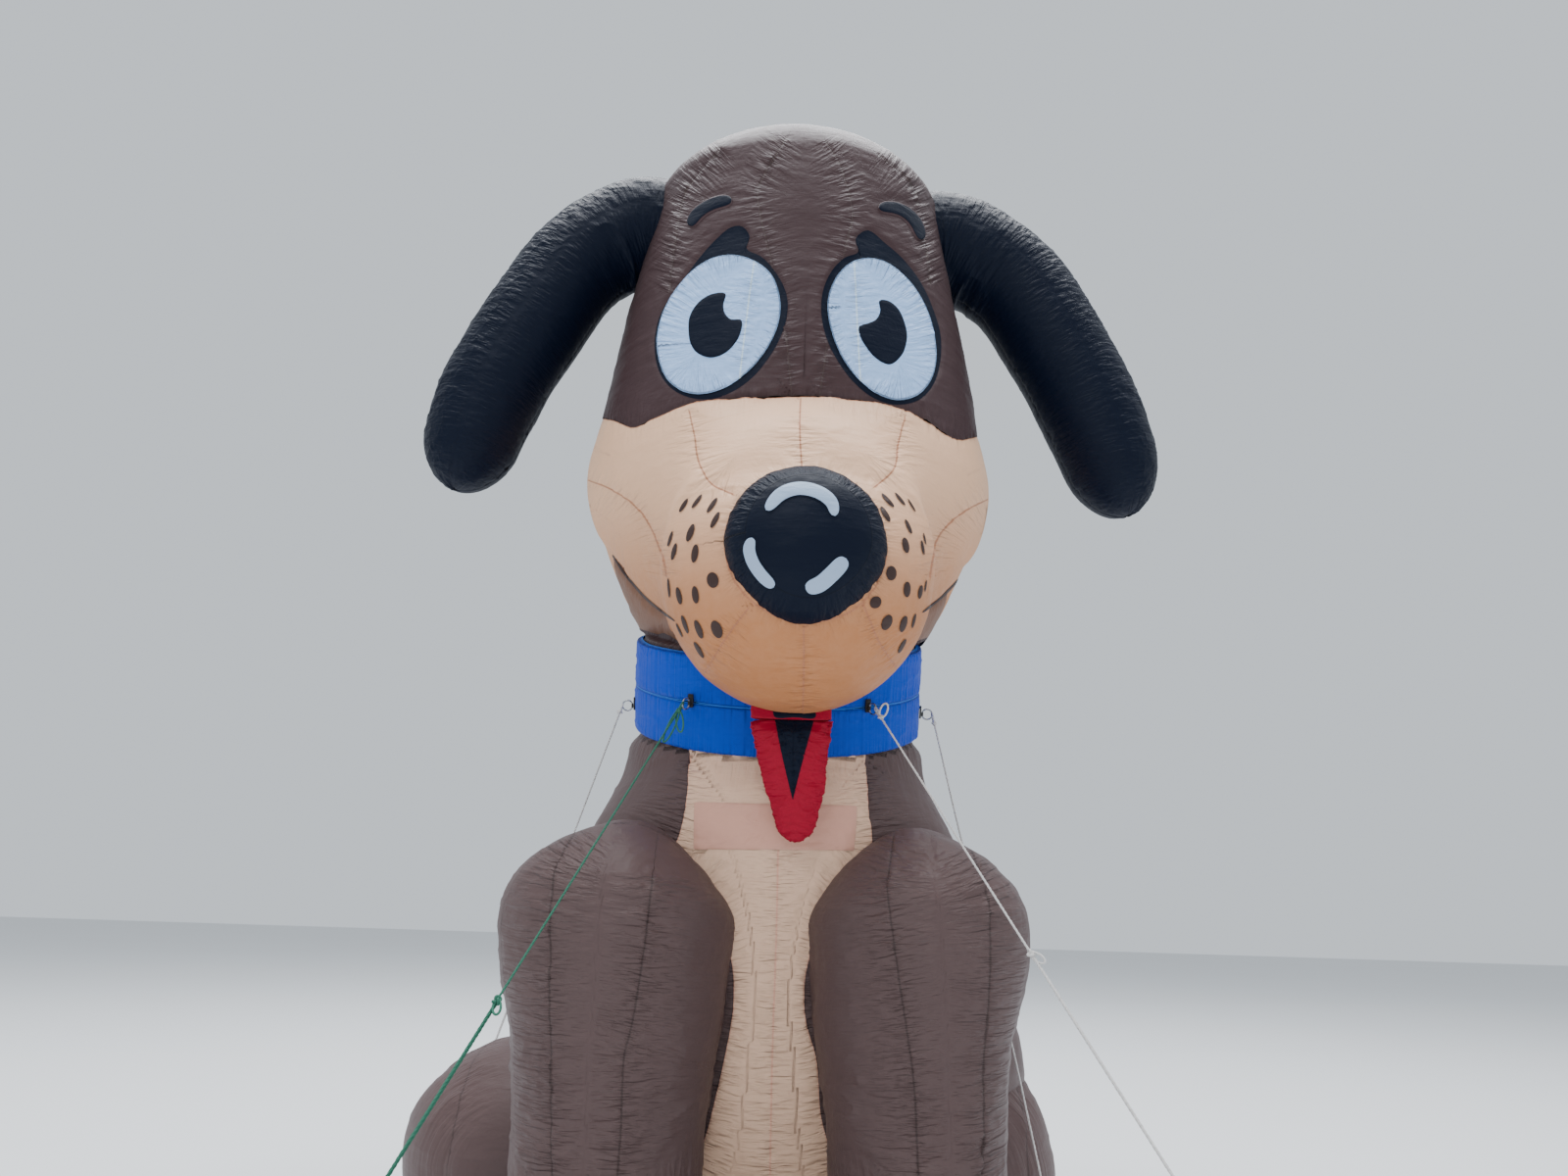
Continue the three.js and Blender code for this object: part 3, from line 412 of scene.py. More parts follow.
def about_z(radius, around, height):
    """Points at a radius, an angle and a height about Z."""
    return np.stack(np.broadcast_arrays(radius * np.cos(around), radius * np.sin(around), height), axis=-1)


def split(points):
    """The x, y and z of points."""
    return np.moveaxis(points, -1, 0)


def widths(points):
    """How far each point of a grid is from the middle of its row."""
    return np.linalg.norm(points - points.mean(axis=1, keepdims=True), axis=-1)


def closed(outline):
    return np.vstack([outline, outline[:1]])


class Form:
    """The surface through stations, as the CAD lofts it."""

    def __init__(
        self, stations, upright=False, across=(0, 1, 0), start_dome=0.0, end_dome=0.0, power=2.0, square=2.0
    ):
        rows = np.array(stations, float)
        self.path = spline(rows[:, :3])
        self.sizes = spline(np.c_[rows[:, 3:5], np.zeros(len(rows))])
        self.spots = np.linspace(0, 1, 801)
        steps = np.linalg.norm(np.diff(self.path(self.spots), axis=0), axis=1)
        self.runs = np.r_[0, np.cumsum(steps)]
        self.length = self.runs[-1]
        self.upright, self.across = upright, np.array(across, float)
        self.start_dome, self.end_dome, self.power, self.square = start_dome, end_dome, power, square

    def at(self, place, angle, grow=0.0):
        """Points at distances along the form and angles round it."""
        place, angle = np.broadcast_arrays(np.asarray(place, float), angle)
        inside = np.clip(place, 0, self.length)
        t = np.interp(inside, self.runs, self.spots)
        along = unit(self.path(t + 1e-4) - self.path(t - 1e-4))
        tangent = np.broadcast_to([0.0, 0.0, 1.0], along.shape) if self.upright else along
        centre = self.path(t) + along * (place - inside)[..., None]
        share = np.ones(place.shape)
        for dome, past in ((self.start_dome, -place), (self.end_dome, place - self.length)):
            if dome:
                high = np.clip((past + dome) / (dome + grow), 0, 1)
                share = share * np.maximum(0, 1 - high**self.power) ** (1 / self.power)
        first = unit(np.cross(self.across, tangent))
        second = unit(np.cross(tangent, first))
        half = (self.sizes(t)[..., :2] + grow) * share[..., None]
        out = bent(np.cos(angle), 2 / self.square) * half[..., 0]
        up = bent(np.sin(angle), 2 / self.square) * half[..., 1]
        return centre + first * out[..., None] + second * up[..., None]


def places(form, spacing, low=0.0):
    """Distances along a form, closer together in its domes."""
    fine = np.linspace(low, form.length, 2001)
    weight = np.ones(fine.shape)
    for dome, depth in ((form.start_dome, fine), (form.end_dome, form.length - fine)):
        if dome:
            weight = np.maximum(weight, 0.55 / np.sqrt(np.clip(depth / dome, 0.004, 1)))
    run = np.r_[0, np.cumsum((weight[1:] + weight[:-1]) / 2 * np.diff(fine))]
    count = max(4, int(round(run[-1] / spacing)) + 1)
    return np.interp(np.linspace(0, run[-1], count), run, fine)


def directions(count, focus=FRONT, ratio=3.0, width=1.8):
    """Angles round a form, closer together about the focus."""
    fine = np.linspace(-pi, pi, 2001) + focus
    weight = 1 + (ratio - 1) * (1 - smooth(width * 0.6, width, np.abs(fine - focus)))
    run = np.r_[0, np.cumsum((weight[1:] + weight[:-1]) / 2)]
    return np.interp(np.arange(count) / count * run[-1], run, fine)


def woven(form, spacing, around):
    """Distances along a form at each angle round it, and the points there."""
    place = places(form, spacing)[:, None] + 0 * around
    return place, form.at(place, around)


# The picture, and the relief of sewn cloth


def turned(points, angle=HEAD_TURN):
    """Points of the head's own frame, turned to where the head looks."""
    c, s = np.cos(angle), np.sin(angle)
    x, y = points[..., 0], points[..., 1]
    return np.stack([x * c - y * s, x * s + y * c, points[..., 2]], axis=-1)


def in_picture(points):
    """Pixels of the picture where points show, and metres for each pixel there."""
    local = (points - EYE) @ CAMERA_AXES
    depth = np.maximum(-local[..., 2], 0.1)
    pixels = np.stack([local[..., 0], -local[..., 1]], axis=-1) / depth[..., None] * LENS + PICTURE / 2
    return pixels, depth / LENS


def sight(pixel):
    """The direction in which the camera sees a pixel."""
    x, y = (np.asarray(pixel, float) - PICTURE / 2) / LENS
    return Vector(CAMERA_AXES @ unit(np.array([x, -y, -1.0])))


def nearest(pixels, line):
    """Distance from each pixel to a line, below zero on one side, and how far along the line that is."""
    best = np.full(pixels.shape[:-1], 1e9)
    along = np.zeros(best.shape)
    run = 0.0
    for a, b in zip(line[:-1], line[1:]):
        length = np.linalg.norm(b - a)
        away = pixels - a
        t = np.clip((away @ (b - a)) / length**2, 0, 1)
        gap = np.linalg.norm(away - t[..., None] * (b - a), axis=-1)
        gap = np.where(away[..., 0] * (b - a)[1] > away[..., 1] * (b - a)[0], -gap, gap)
        closer = np.abs(gap) < np.abs(best)
        best = np.where(closer, gap, best)
        along = np.where(closer, run + t * length, along)
        run += length
    return best, along


def within(pixels, outline):
    """Distance into a closed outline; below zero outside it."""
    ring = closed(outline)
    gap, _ = nearest(pixels, ring)
    x, y = pixels[..., 0], pixels[..., 1]
    odd = np.zeros(x.shape, bool)
    for (ax, ay), (bx, by) in zip(ring[:-1], ring[1:]):
        if ay != by:
            odd ^= ((ay > y) != (by > y)) & (x < (bx - ax) * (y - ay) / (by - ay) + ax)
    return np.where(odd, np.abs(gap), -np.abs(gap))


def line_height(pixels, line):
    """How far above a line, read from left to right, each pixel is."""
    return np.interp(pixels[..., 0], line[:, 0], line[:, 1]) - pixels[..., 1]


class Relief:
    """How far a surface moves along its normal, and where it is along and away from its nearest seam."""

    def __init__(self, points, normals=None):
        self.points = points
        self.normals = grid_normals(points) if normals is None else normals
        self.pixels, self.scale = in_picture(points)
        self.facing = smooth(-0.1, 0.25, np.sum(unit(EYE - points) * self.normals, axis=-1))
        shape = points.shape[:-1]
        self.height, self.near, self.run, self.pull = (np.zeros(shape) for _ in range(4))
        self.seam, self.second = np.ones(shape), np.ones(shape)
        self.count = 0

    def sew(self, gap, along, stitch, groove=0.003, share=1.0, pinch=0.008, pull=1.0):
        """A stitched line, at a gap that is below zero on one side: a groove, with puckers across it."""
        wave, depth, reach = STITCHES[stitch]
        self.count += 1
        closer = (np.abs(gap) < np.abs(self.seam)) & (share > 0.01)
        other = np.where(share > 0.01, np.maximum(np.abs(gap), np.abs(self.seam)), 1.0)
        self.second = np.minimum(self.second, other)
        self.seam = np.where(closer, gap, self.seam)
        self.near = np.maximum(self.near, share * np.exp(-((gap / 0.02) ** 2)))
        self.run = np.where(closer, along + self.count, self.run)
        drawn = share * pull * min(depth / 0.006, 1.3) * np.exp(-np.abs(gap) / (1.2 * reach))
        self.pull = np.where(closer, drawn, self.pull)
        side = np.where(gap < 0, 9.0, 0.0)
        gap = np.abs(gap)
        seed = self.count * 17
        run = along / wave
        bunch = np.clip(0.55 + 0.95 * noise(run / 4, side, 0, seed), 0.05, 1.4)
        span = reach * (0.75 + 0.6 * noise(run / 1.3, side, 3, seed))
        tuck = noise(run * 1.9, gap / reach * 0.6 + side, 0, seed)
        fold = np.clip(1 - 2.4 * np.abs(noise(run * 1.1, gap / reach * 0.5 + side, 8, seed)), 0, 1)
        puckers = PUCKER_STRENGTH * depth * bunch * (0.9 * tuck + 0.8 * fold) * np.exp(-gap / span)
        self.height += share * (puckers - groove * np.exp(-((gap / pinch) ** 2)))

    def sew_seen(self, line, stitch, share=1.0, **how):
        """A stitched line that the picture shows."""
        gap, along = nearest(self.pixels, smooth_line(line, 60))
        self.sew(gap * self.scale, along * self.scale, stitch, share=share * self.facing, **how)

    def crease(self, across, along, wave, depth, share=1.0, long=5.0):
        """Long folds that follow one another across at a wave's length, each running along for long waves."""
        self.count += 1
        seed = self.count * 23
        bend = 0.5 * noise(along / (3 * wave), across / (4 * wave), 1, seed)
        field = noise(along / (long * wave), across / wave + bend, 5, seed)
        ridge = np.clip(1 - np.abs(field) * 3.2, 0, 1) ** 2
        self.height += share * depth * (ridge + 0.5 * field)

    def crumple(self, size, depth):
        """Low irregular unevenness."""
        self.count += 1
        self.height += depth * noise(*split(self.points / size), self.count * 31)

    def swell(self, gap):
        """Air that lifts the cloth away from a seam."""
        self.height += 0.012 * (1 - np.exp(-np.abs(gap) / 0.10))

    def seams_round(self, around, turns, width, place, stitch, **how):
        """Seams along a form, at turns round it."""
        for turn in turns:
            self.sew(off(around, turn) * width + 0 * place, place, stitch, **how)


# Meshes


def grid_normals(points):
    """Outward normals of a grid of rows along a form and columns round it."""
    down = np.gradient(points, axis=0)
    over = (np.roll(points, -1, axis=1) - np.roll(points, 1, axis=1)) / 2
    normals = np.cross(over, down)
    for row, other in ((0, 1), (-1, -2)):
        if np.linalg.norm(points[row] - points[row].mean(axis=0), axis=-1).max() < 1e-6:
            normals[row] = unit(normals[other]).mean(axis=0)
    normals = unit(normals)
    middle = points.mean(axis=(0, 1))
    return -normals if np.sum(normals * (points - middle)) < 0 else normals


def grid_faces(rows, columns, wrap=True):
    """Triangles of a grid."""
    index = np.arange(rows * columns).reshape(rows, columns)
    if wrap:
        index = np.hstack([index, index[:, :1]])
    a, b, c, d = index[:-1, :-1], index[:-1, 1:], index[1:, 1:], index[1:, :-1]
    return np.vstack([np.stack(corners, axis=-1).reshape(-1, 3) for corners in ((a, b, c), (a, c, d))])


def clip(part, column, sign=1):
    """The part of a mesh where a column of its data, times a sign, is above zero."""
    data, faces = part
    value = sign * data[:, column]
    inside = value > 0
    count = inside[faces].sum(axis=1)
    kept = [faces[count == 3]]
    made = [data]
    total = len(data)
    for wanted in (1, 2):
        cut = faces[count == wanted]
        if not len(cut):
            continue
        lone = np.argmax(inside[cut] == (wanted == 1), axis=1)
        order = (lone[:, None] + np.arange(3)) % 3
        cut = np.take_along_axis(cut, order, axis=1)
        pairs = np.vstack([cut[:, [0, 1]], cut[:, [0, 2]]])
        keys, back = np.unique(np.sort(pairs, axis=1), axis=0, return_inverse=True)
        back = back.reshape(-1)
        a, b = value[keys[:, 0]], value[keys[:, 1]]
        t = (a / (a - b))[:, None]
        made.append(data[keys[:, 0]] * (1 - t) + data[keys[:, 1]] * t)
        one, two = back[: len(cut)] + total, back[len(cut) :] + total
        total += len(keys)
        if wanted == 1:
            kept.append(np.stack([cut[:, 0], one, two], axis=1))
        else:
            kept.append(np.stack([one, cut[:, 1], cut[:, 2]], axis=1))
            kept.append(np.stack([one, cut[:, 2], two], axis=1))
    data, faces = np.vstack(made), np.vstack(kept)
    used, back = np.unique(faces, return_inverse=True)
    return data[used], back.reshape(-1, 3)


def placed(name, data):
    """A new object in the scene."""
    made = bpy.data.objects.new(name, data)
    bpy.context.scene.collection.objects.link(made)
    return made


def shown(name, part, node=None, slot=None, material=None, body="dog"):
    """A piece from a mesh's data and faces. It stands for a node, or takes its finish from a slot."""
    data, faces = part
    slot = slot or SLOT_OF[node]
    a, b, c = (data[faces[:, k], :3] for k in range(3))
    faces = faces[np.linalg.norm(np.cross(b - a, c - a), axis=1) > 1e-10]
    mesh = bpy.data.meshes.new(name)
    mesh.from_pydata(data[:, :3].tolist(), [], faces.tolist())
    mesh.polygons.foreach_set("use_smooth", np.ones(len(mesh.polygons), bool))
    for k, label in enumerate(COLUMNS, 3):
        values = data[:, k] if data.shape[1] > k else np.zeros(len(data))
        layer = mesh.attributes.new(label, "FLOAT", "POINT")
        layer.data.foreach_set("value", values.astype(np.float32))
    mesh.materials.append(material or MATERIALS[slot])
    piece = placed(name, mesh)
    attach(piece, body)
    if node:
        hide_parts(node)
    return piece


def padded(node, part, fill=1.0, **how):
    """A chamber of sewn cloth that stands for a node."""
    shown(f"sewn_{node}", part, node, **how)


def columns(relief, tone=0.0, *more):
    """Places moved by their relief, as rows of data: place, COLUMNS, and then what more is given."""
    moved = relief.points + relief.normals * relief.height[..., None]
    moved[..., 2] = np.maximum(moved[..., 2], 0)
    pull = relief.pull * smooth(0.0, 0.06, relief.second - np.abs(relief.seam))
    values = (relief.seam, relief.near, tone, relief.run, pull, *more)
    extras = [np.broadcast_to(value, moved.shape[:-1])[..., None] for value in values]
    return np.concatenate([moved, *extras], axis=-1).reshape(-1, 3 + len(values))


def cloth(relief, tone=0.0, *more, wrap=True):
    """A grid moved by its relief, as data and faces."""
    return columns(relief, tone, *more), grid_faces(*relief.points.shape[:2], wrap)


def plain(grid, wrap=True):
    """A grid of places as a mesh that is far from any seam."""
    far = np.ones((*grid.shape[:2], 1))
    data = np.concatenate([grid, far, 0 * far, 0 * far], axis=-1).reshape(-1, 6)
    return data, grid_faces(*grid.shape[:2], wrap)


def gathered(parts):
    """Several meshes as one."""
    starts = np.cumsum([0] + [len(data) for data, _ in parts])
    faces = [cells + start for (_, cells), start in zip(parts, starts)]
    return np.vstack([data for data, _ in parts]), np.vstack(faces)


def tree_of(part):
    return BVHTree.FromPolygons(part[0][:, :3].tolist(), part[1].tolist())


def closed_tree(form):
    """A form as one closed body, to be met by rays."""
    grid = form.at(np.linspace(0, form.length, 90)[:, None], ring_of(96))
    ends = [np.repeat(row.mean(axis=0)[None, None], len(row), axis=1) for row in (grid[0], grid[-1])]
    return tree_of(plain(np.concatenate([ends[0], grid, ends[1]], axis=0)))


def radii(tree, centre, rays):
    """How far each ray from the centre runs inside a body."""
    start = Vector(centre)
    found = np.zeros(rays.shape[:-1])
    for index in np.ndindex(found.shape):
        found[index] = tree.ray_cast(start, Vector(rays[index]))[3] or 0.0
    return found


def joined(a, b, width):
    """The larger of two sizes, rounded where they are alike."""
    h = np.clip(0.5 + 0.5 * (a - b) / width, 0, 1)
    return b + (a - b) * h + width * h * (1 - h)


def rays_about(axis, tilts, turns):
    """Unit rays at tilts from an axis and turns round it."""
    axis = unit(np.array(axis, float))
    side = unit(np.cross([0.0, 0.0, 1.0], axis))
    up = np.cross(axis, side)
    tilts, turns = np.broadcast_arrays(tilts[:, None], turns)
    around = np.cos(turns)[..., None] * side + np.sin(turns)[..., None] * up
    return np.cos(tilts)[..., None] * axis + np.sin(tilts)[..., None] * around


# Materials


def linked(tree, kind, sockets, output=0, **settings):
    """An output of a new node whose inputs are set, or linked where the value is an output."""
    made = tree.nodes.new(f"ShaderNode{kind}")
    for key, value in settings.items():
        setattr(made, key, value)
    for key, value in sockets.items():
        if isinstance(value, bpy.types.NodeSocket):
            tree.links.new(value, made.inputs[key])
        else:
            made.inputs[key].default_value = value
    return made.outputs[output]


def clouds(tree, place, scale, detail, **more):
    return linked(tree, "TexNoise", {"Vector": place, "Scale": scale, "Detail": detail, **more})


def attribute(tree, name):
    return linked(tree, "Attribute", {}, "Fac", attribute_name=name)


def product(tree, a, b):
    return linked(tree, "Math", {0: a, 1: b}, operation="MULTIPLY")


def bumped(tree, height, strength, distance, under=None, **settings):
    """A surface normal raised by a height, over another one."""
    sockets = {"Height": height, "Strength": strength, "Distance": distance}
    return linked(tree, "Bump", {**sockets, "Normal": under} if under else sockets, **settings)


def mixed(tree, factor, a, b):
    """The colour between a and b, each a colour or an output."""
    mix = tree.nodes.new("ShaderNodeMix")
    mix.data_type = "RGBA"
    colours = [socket for socket in mix.inputs if socket.type == "RGBA"]
    for socket, value in zip((mix.inputs[0], *colours), (factor, a, b)):
        if isinstance(value, bpy.types.NodeSocket):
            tree.links.new(value, socket)
        else:
            socket.default_value = (*value, 1) if isinstance(value, tuple) else value
    return [socket for socket in mix.outputs if socket.type == "RGBA"][0]


def shade(colour, share):
    return tuple(min(1.0, c * share) for c in colour)


def uneven(tree, factor, colour, spread):
    return mixed(tree, factor, shade(colour, 1 - spread), shade(colour, 1 + spread))


def bands(tree, place, scale, detail):
    """Long soft folds in a space stretched by a scale."""
    stretched = linked(tree, "Mapping", {"Vector": place, "Scale": scale})
    limits = {"Value": clouds(tree, stretched, 1.0, detail), "From Min": 0.36, "From Max": 0.64}
    return linked(tree, "MapRange", limits, interpolation_type="SMOOTHSTEP")


def blank(name):
    """A new material, its nodes, its shader, and places in the object's own space."""
    material = bpy.data.materials.new(name)
    material.use_nodes = True
    tree = material.node_tree
    place = tree.nodes.new("ShaderNodeTexCoord").outputs["Object"]
    return material, tree, tree.nodes["Principled BSDF"], place


def fabric(name, colour, seam, tone=None, roughness=0.5, specular=0.32, bump=0.3, spread=0.08, folds=0.3):
    """Coated nylon: uneven colour, a ripstop weave, wrinkles, level creases, and gathers along seams."""
    material, tree, shader, place = blank(name)
    broad = clouds(tree, place, 1.6, 5.0, Roughness=0.6)
    fine = clouds(tree, place, 24.0, 6.0, Roughness=0.65)
    seam_gap = attribute(tree, "seam")
    gap = linked(tree, "Math", {0: seam_gap}, operation="ABSOLUTE")
    limits = {"Value": gap, "From Min": 0.0015, "From Max": 0.0060, "To Min": 1.0, "To Max": 0.0}
    line = linked(tree, "MapRange", limits, interpolation_type="SMOOTHSTEP")
    seam_at = product(tree, line, attribute(tree, "near"))
    base = uneven(tree, broad, colour, spread)
    # The tone attribute blends to a second colour: on the brown, the body's brown; on the tan face, painted
    # shade.
    if tone:
        base = mixed(tree, attribute(tree, "tone"), base, uneven(tree, broad, tone, spread))
    flecks = mixed(tree, 0.25, base, mixed(tree, fine, shade(colour, 0.8), base))
    rough = linked(tree, "MapRange", {"Value": fine, "To Min": roughness - 0.08, "To Max": roughness + 0.10})
    tree.links.new(mixed(tree, seam_at, flecks, seam), shader.inputs["Base Color"])
    tree.links.new(rough, shader.inputs["Roughness"])
    shader.inputs["Sheen Weight"].default_value = 0.01
    shader.inputs["Specular IOR Level"].default_value = specular

    # Small wrinkles, grain, weave, stitched lines, the gathers beside them, and level creases
    normal = bumped(tree, clouds(tree, place, 34.0, 4.0, Distortion=0.6), bump, 0.006)
    normal = bumped(tree, clouds(tree, place, 120.0, 3.0), bump * 0.5, 0.001, normal)
    weave = linked(tree, "TexBrick", {"Vector": place, "Scale": 70.0}, "Fac")
    normal = bumped(tree, weave, 0.05, 0.0004, normal)
    normal = bumped(tree, seam_at, 0.4, 0.003, normal, invert=True)
    beside = linked(tree, "CombineXYZ", {"X": attribute(tree, "run"), "Y": seam_gap})
    gathers = product(tree, bands(tree, beside, (42.0, 8.0, 1.0), 2.0), attribute(tree, "pull"))
    normal = bumped(tree, gathers, 1.0, 0.0065, normal)
    normal = bumped(tree, bands(tree, place, (5.0, 5.0, 25.0), 3.0), folds, 0.004, normal)
    tree.links.new(normal, shader.inputs["Normal"])
    return material


def hard(name, colour, roughness, metallic=0.0, scale=60.0, bump=0.15, worn=0.85):
    """Metal, moulded plastic or rubber, with a fine grain and uneven gloss."""
    material, tree, shader, place = blank(name)
    grain = clouds(tree, place, scale, 5.0)
    rough = linked(tree, "MapRange", {"Value": grain, "To Min": roughness - 0.08, "To Max": roughness + 0.12})
    colours = mixed(tree, clouds(tree, place, scale / 12, 3.0), shade(colour, worn), shade(colour, 2 - worn))
    tree.links.new(colours, shader.inputs["Base Color"])
    tree.links.new(rough, shader.inputs["Roughness"])
    tree.links.new(bumped(tree, grain, bump, 0.0006), shader.inputs["Normal"])
    shader.inputs["Metallic"].default_value = metallic
    return material


BROWN = (0.055, 0.030, 0.032)
BODY_BROWN = (0.108, 0.069, 0.066)
# TAN is lighter than the cloth itself: painted light, for the glow of light through the thin tan fabric.
# LOW_TAN is painted shade: the face's tone blends the tan to it towards the bottom of the snout and jaws.
TAN = (0.87, 0.53, 0.335)
LOW_TAN = (0.47, 0.175, 0.060)
BLACK = (0.0018, 0.0050, 0.016)
MATERIALS = {
    "brown_fabric": fabric("brown_nylon", BROWN, shade(BODY_BROWN, 0.6), tone=BODY_BROWN, specular=0.20),
    "tan_fabric": fabric("tan_nylon", TAN, (0.46, 0.19, 0.10), tone=LOW_TAN, specular=0.22, folds=0.25),
    "shaded_tan_fabric": fabric("shaded_tan_nylon", (0.20, 0.100, 0.063), (0.12, 0.06, 0.04), specular=0.2),
    "patch_fabric": fabric("patch_nylon", (0.72, 0.38, 0.28), (0.80, 0.54, 0.42)),
    "blue_fabric": fabric("blue_nylon", (0.0006, 0.054, 0.50), (0.03, 0.20, 0.75), specular=0.14, folds=0.6),
    "black_fabric": fabric("black_nylon", BLACK, shade(BLACK, 0.5), specular=0.13),
    # The white cloth and its seams are tinted blue: painted light, for the cool sky light on them.
    "white_fabric": fabric("white_nylon", (0.40, 0.62, 1.0), (0.66, 0.84, 1.0), spread=0.03, folds=0.5),
    "red_fabric": fabric("red_nylon", (0.34, 0.005, 0.026), (0.20, 0.005, 0.018), specular=0.12),
    "black_webbing": fabric(
        "black_webbing", (0.020, 0.017, 0.016), (0.05, 0.045, 0.04), roughness=0.7, bump=0.8
    ),
    "rope_green": fabric("green_rope", (0.03, 0.16, 0.10), (0.02, 0.12, 0.05), roughness=0.65, bump=0.8),
    "rope_white": fabric("white_rope", (0.66, 0.64, 0.62), (0.4, 0.42, 0.44), roughness=0.65, bump=0.8),
    "galvanised_steel": hard("galvanised_steel", (0.42, 0.43, 0.45), 0.42, metallic=1.0, scale=90.0),
    "orange_plastic": hard("orange_plastic", (0.63, 0.144, 0.013), 0.38, scale=400.0, bump=0.3, worn=0.94),
    "blower_steel": hard("blower_steel", (0.27, 0.29, 0.31), 0.38, metallic=1.0, scale=120.0),
    "black_rubber": hard("black_rubber", (0.016, 0.016, 0.018), 0.6, scale=260.0, bump=0.4),
}
BELLY_TAN = fabric(
    "belly_nylon", (0.87, 0.58, 0.41), (0.80, 0.42, 0.30), tone=LOW_TAN, specular=0.22, folds=0.6
)
MARK_BROWN = fabric("mark_nylon", (0.040, 0.018, 0.014), (0.03, 0.015, 0.012))
SHINE_WHITE = fabric("shine_nylon", (0.36, 0.48, 0.66), (0.3, 0.36, 0.45), roughness=0.45, spread=0.05)
BROW_EDGE = fabric("brow_edge_nylon", shade(BROWN, 1.5), BROWN)


# Head

head = Form(HEAD, upright=True, end_dome=0.5, power=1.68, square=2.12)
snout = Form(SNOUT, across=(0, 0, 1), end_dome=0.52)
CHEEKS_END = 0.10
BACK_SEAM = 4.06
BACK_MOUTH = 3.00

# Where the distances that a surface is cut by stand in its data, after the columns of its relief
FIRST_CUT = 3 + len(COLUMNS)
SEAM, MOUTH, LEAD, ENDS, CLEAR = range(FIRST_CUT, FIRST_CUT + 5)


def above_line(points, line, back_height):
    """Metres above a sewn line round the head: in front as the picture shows it, and level behind."""
    pixels, scale = in_picture(points)
    front = 1 - smooth(-0.30, 0.10, points[..., 1])
    seen = front * line_height(pixels, smooth_line(line, 200)) * scale
    return seen + (1 - front) * (points[..., 2] - back_height)


def crown():
    around = directions(340)
    base = np.full(around.shape, 1.2)
    for _ in range(12):
        base -= above_line(turned(head.at(base, around)), FACE_SEAM, BACK_SEAM)
    rows = places(head, 0.0145, base.mean())
    share = (rows - base.mean()) / (head.length - base.mean())
    place = base + (head.length - base) * share[:, None]
    points = turned(head.at(place, around))
    x, _, z = split(points)
    relief = Relief(points)
    seam = above_line(points, FACE_SEAM, BACK_SEAM)
    relief.swell(seam)
    relief.sew(seam, around * 0.95 + 0 * place, "face")
    for line in CROWN_SEAMS:
        relief.sew_seen(line, "crown_front")
    turns = (pi / 2, pi / 2 - 0.8, pi / 2 + 0.8, pi / 2 - 1.5, pi / 2 + 1.5)
    relief.seams_round(around, turns, widths(points), place, "crown_back", share=1 - relief.facing)
    rims = [within(relief.pixels, smooth_line(eye["rim"], 80, True)) for eye in EYES.values()]
    brows = [np.abs(nearest(relief.pixels, smooth_line(eye["brow"], 30))[0]) for eye in EYES.values()]
    eyes = np.max(rims, axis=0)
    cover = smooth(-3.0, 3.0, eyes) * relief.facing
    calm = smooth(14.0, 8.0, np.min(brows, axis=0)) * relief.facing
    relief.crease(z, x, 0.05, 0.0035, share=smooth(-60, -10, eyes) * relief.facing)
    relief.crease(z + 0.4 * x, x, 0.06, 0.0018)
    relief.crumple(0.24, 0.006)
    relief.crumple(0.06, 0.0012)
    for share, height in ((calm, 0.010), (cover, 0.002)):
        relief.height = relief.height * (1 - share) + height * share
    relief.near *= 1 - np.maximum(cover, calm)
    part = cloth(relief)
    padded("head_crown", part)
    return tree_of(part)


def inside_neck(points):
    """Height on the neck's axis, and distance from it."""
    x, y, z = split(points - NECK_CENTRE)
    c, s = np.cos(NECK_TILT), np.sin(NECK_TILT)
    return z * c - y * s, np.hypot(x, y * c + z * s)


def about_neck(points):
    """Points given about the neck's own axis, in the dog's frame."""
    x, y, z = split(points)
    c, s = np.cos(NECK_TILT), np.sin(NECK_TILT)
    return np.stack([x, y * c - z * s, y * s + z * c], axis=-1) + NECK_CENTRE


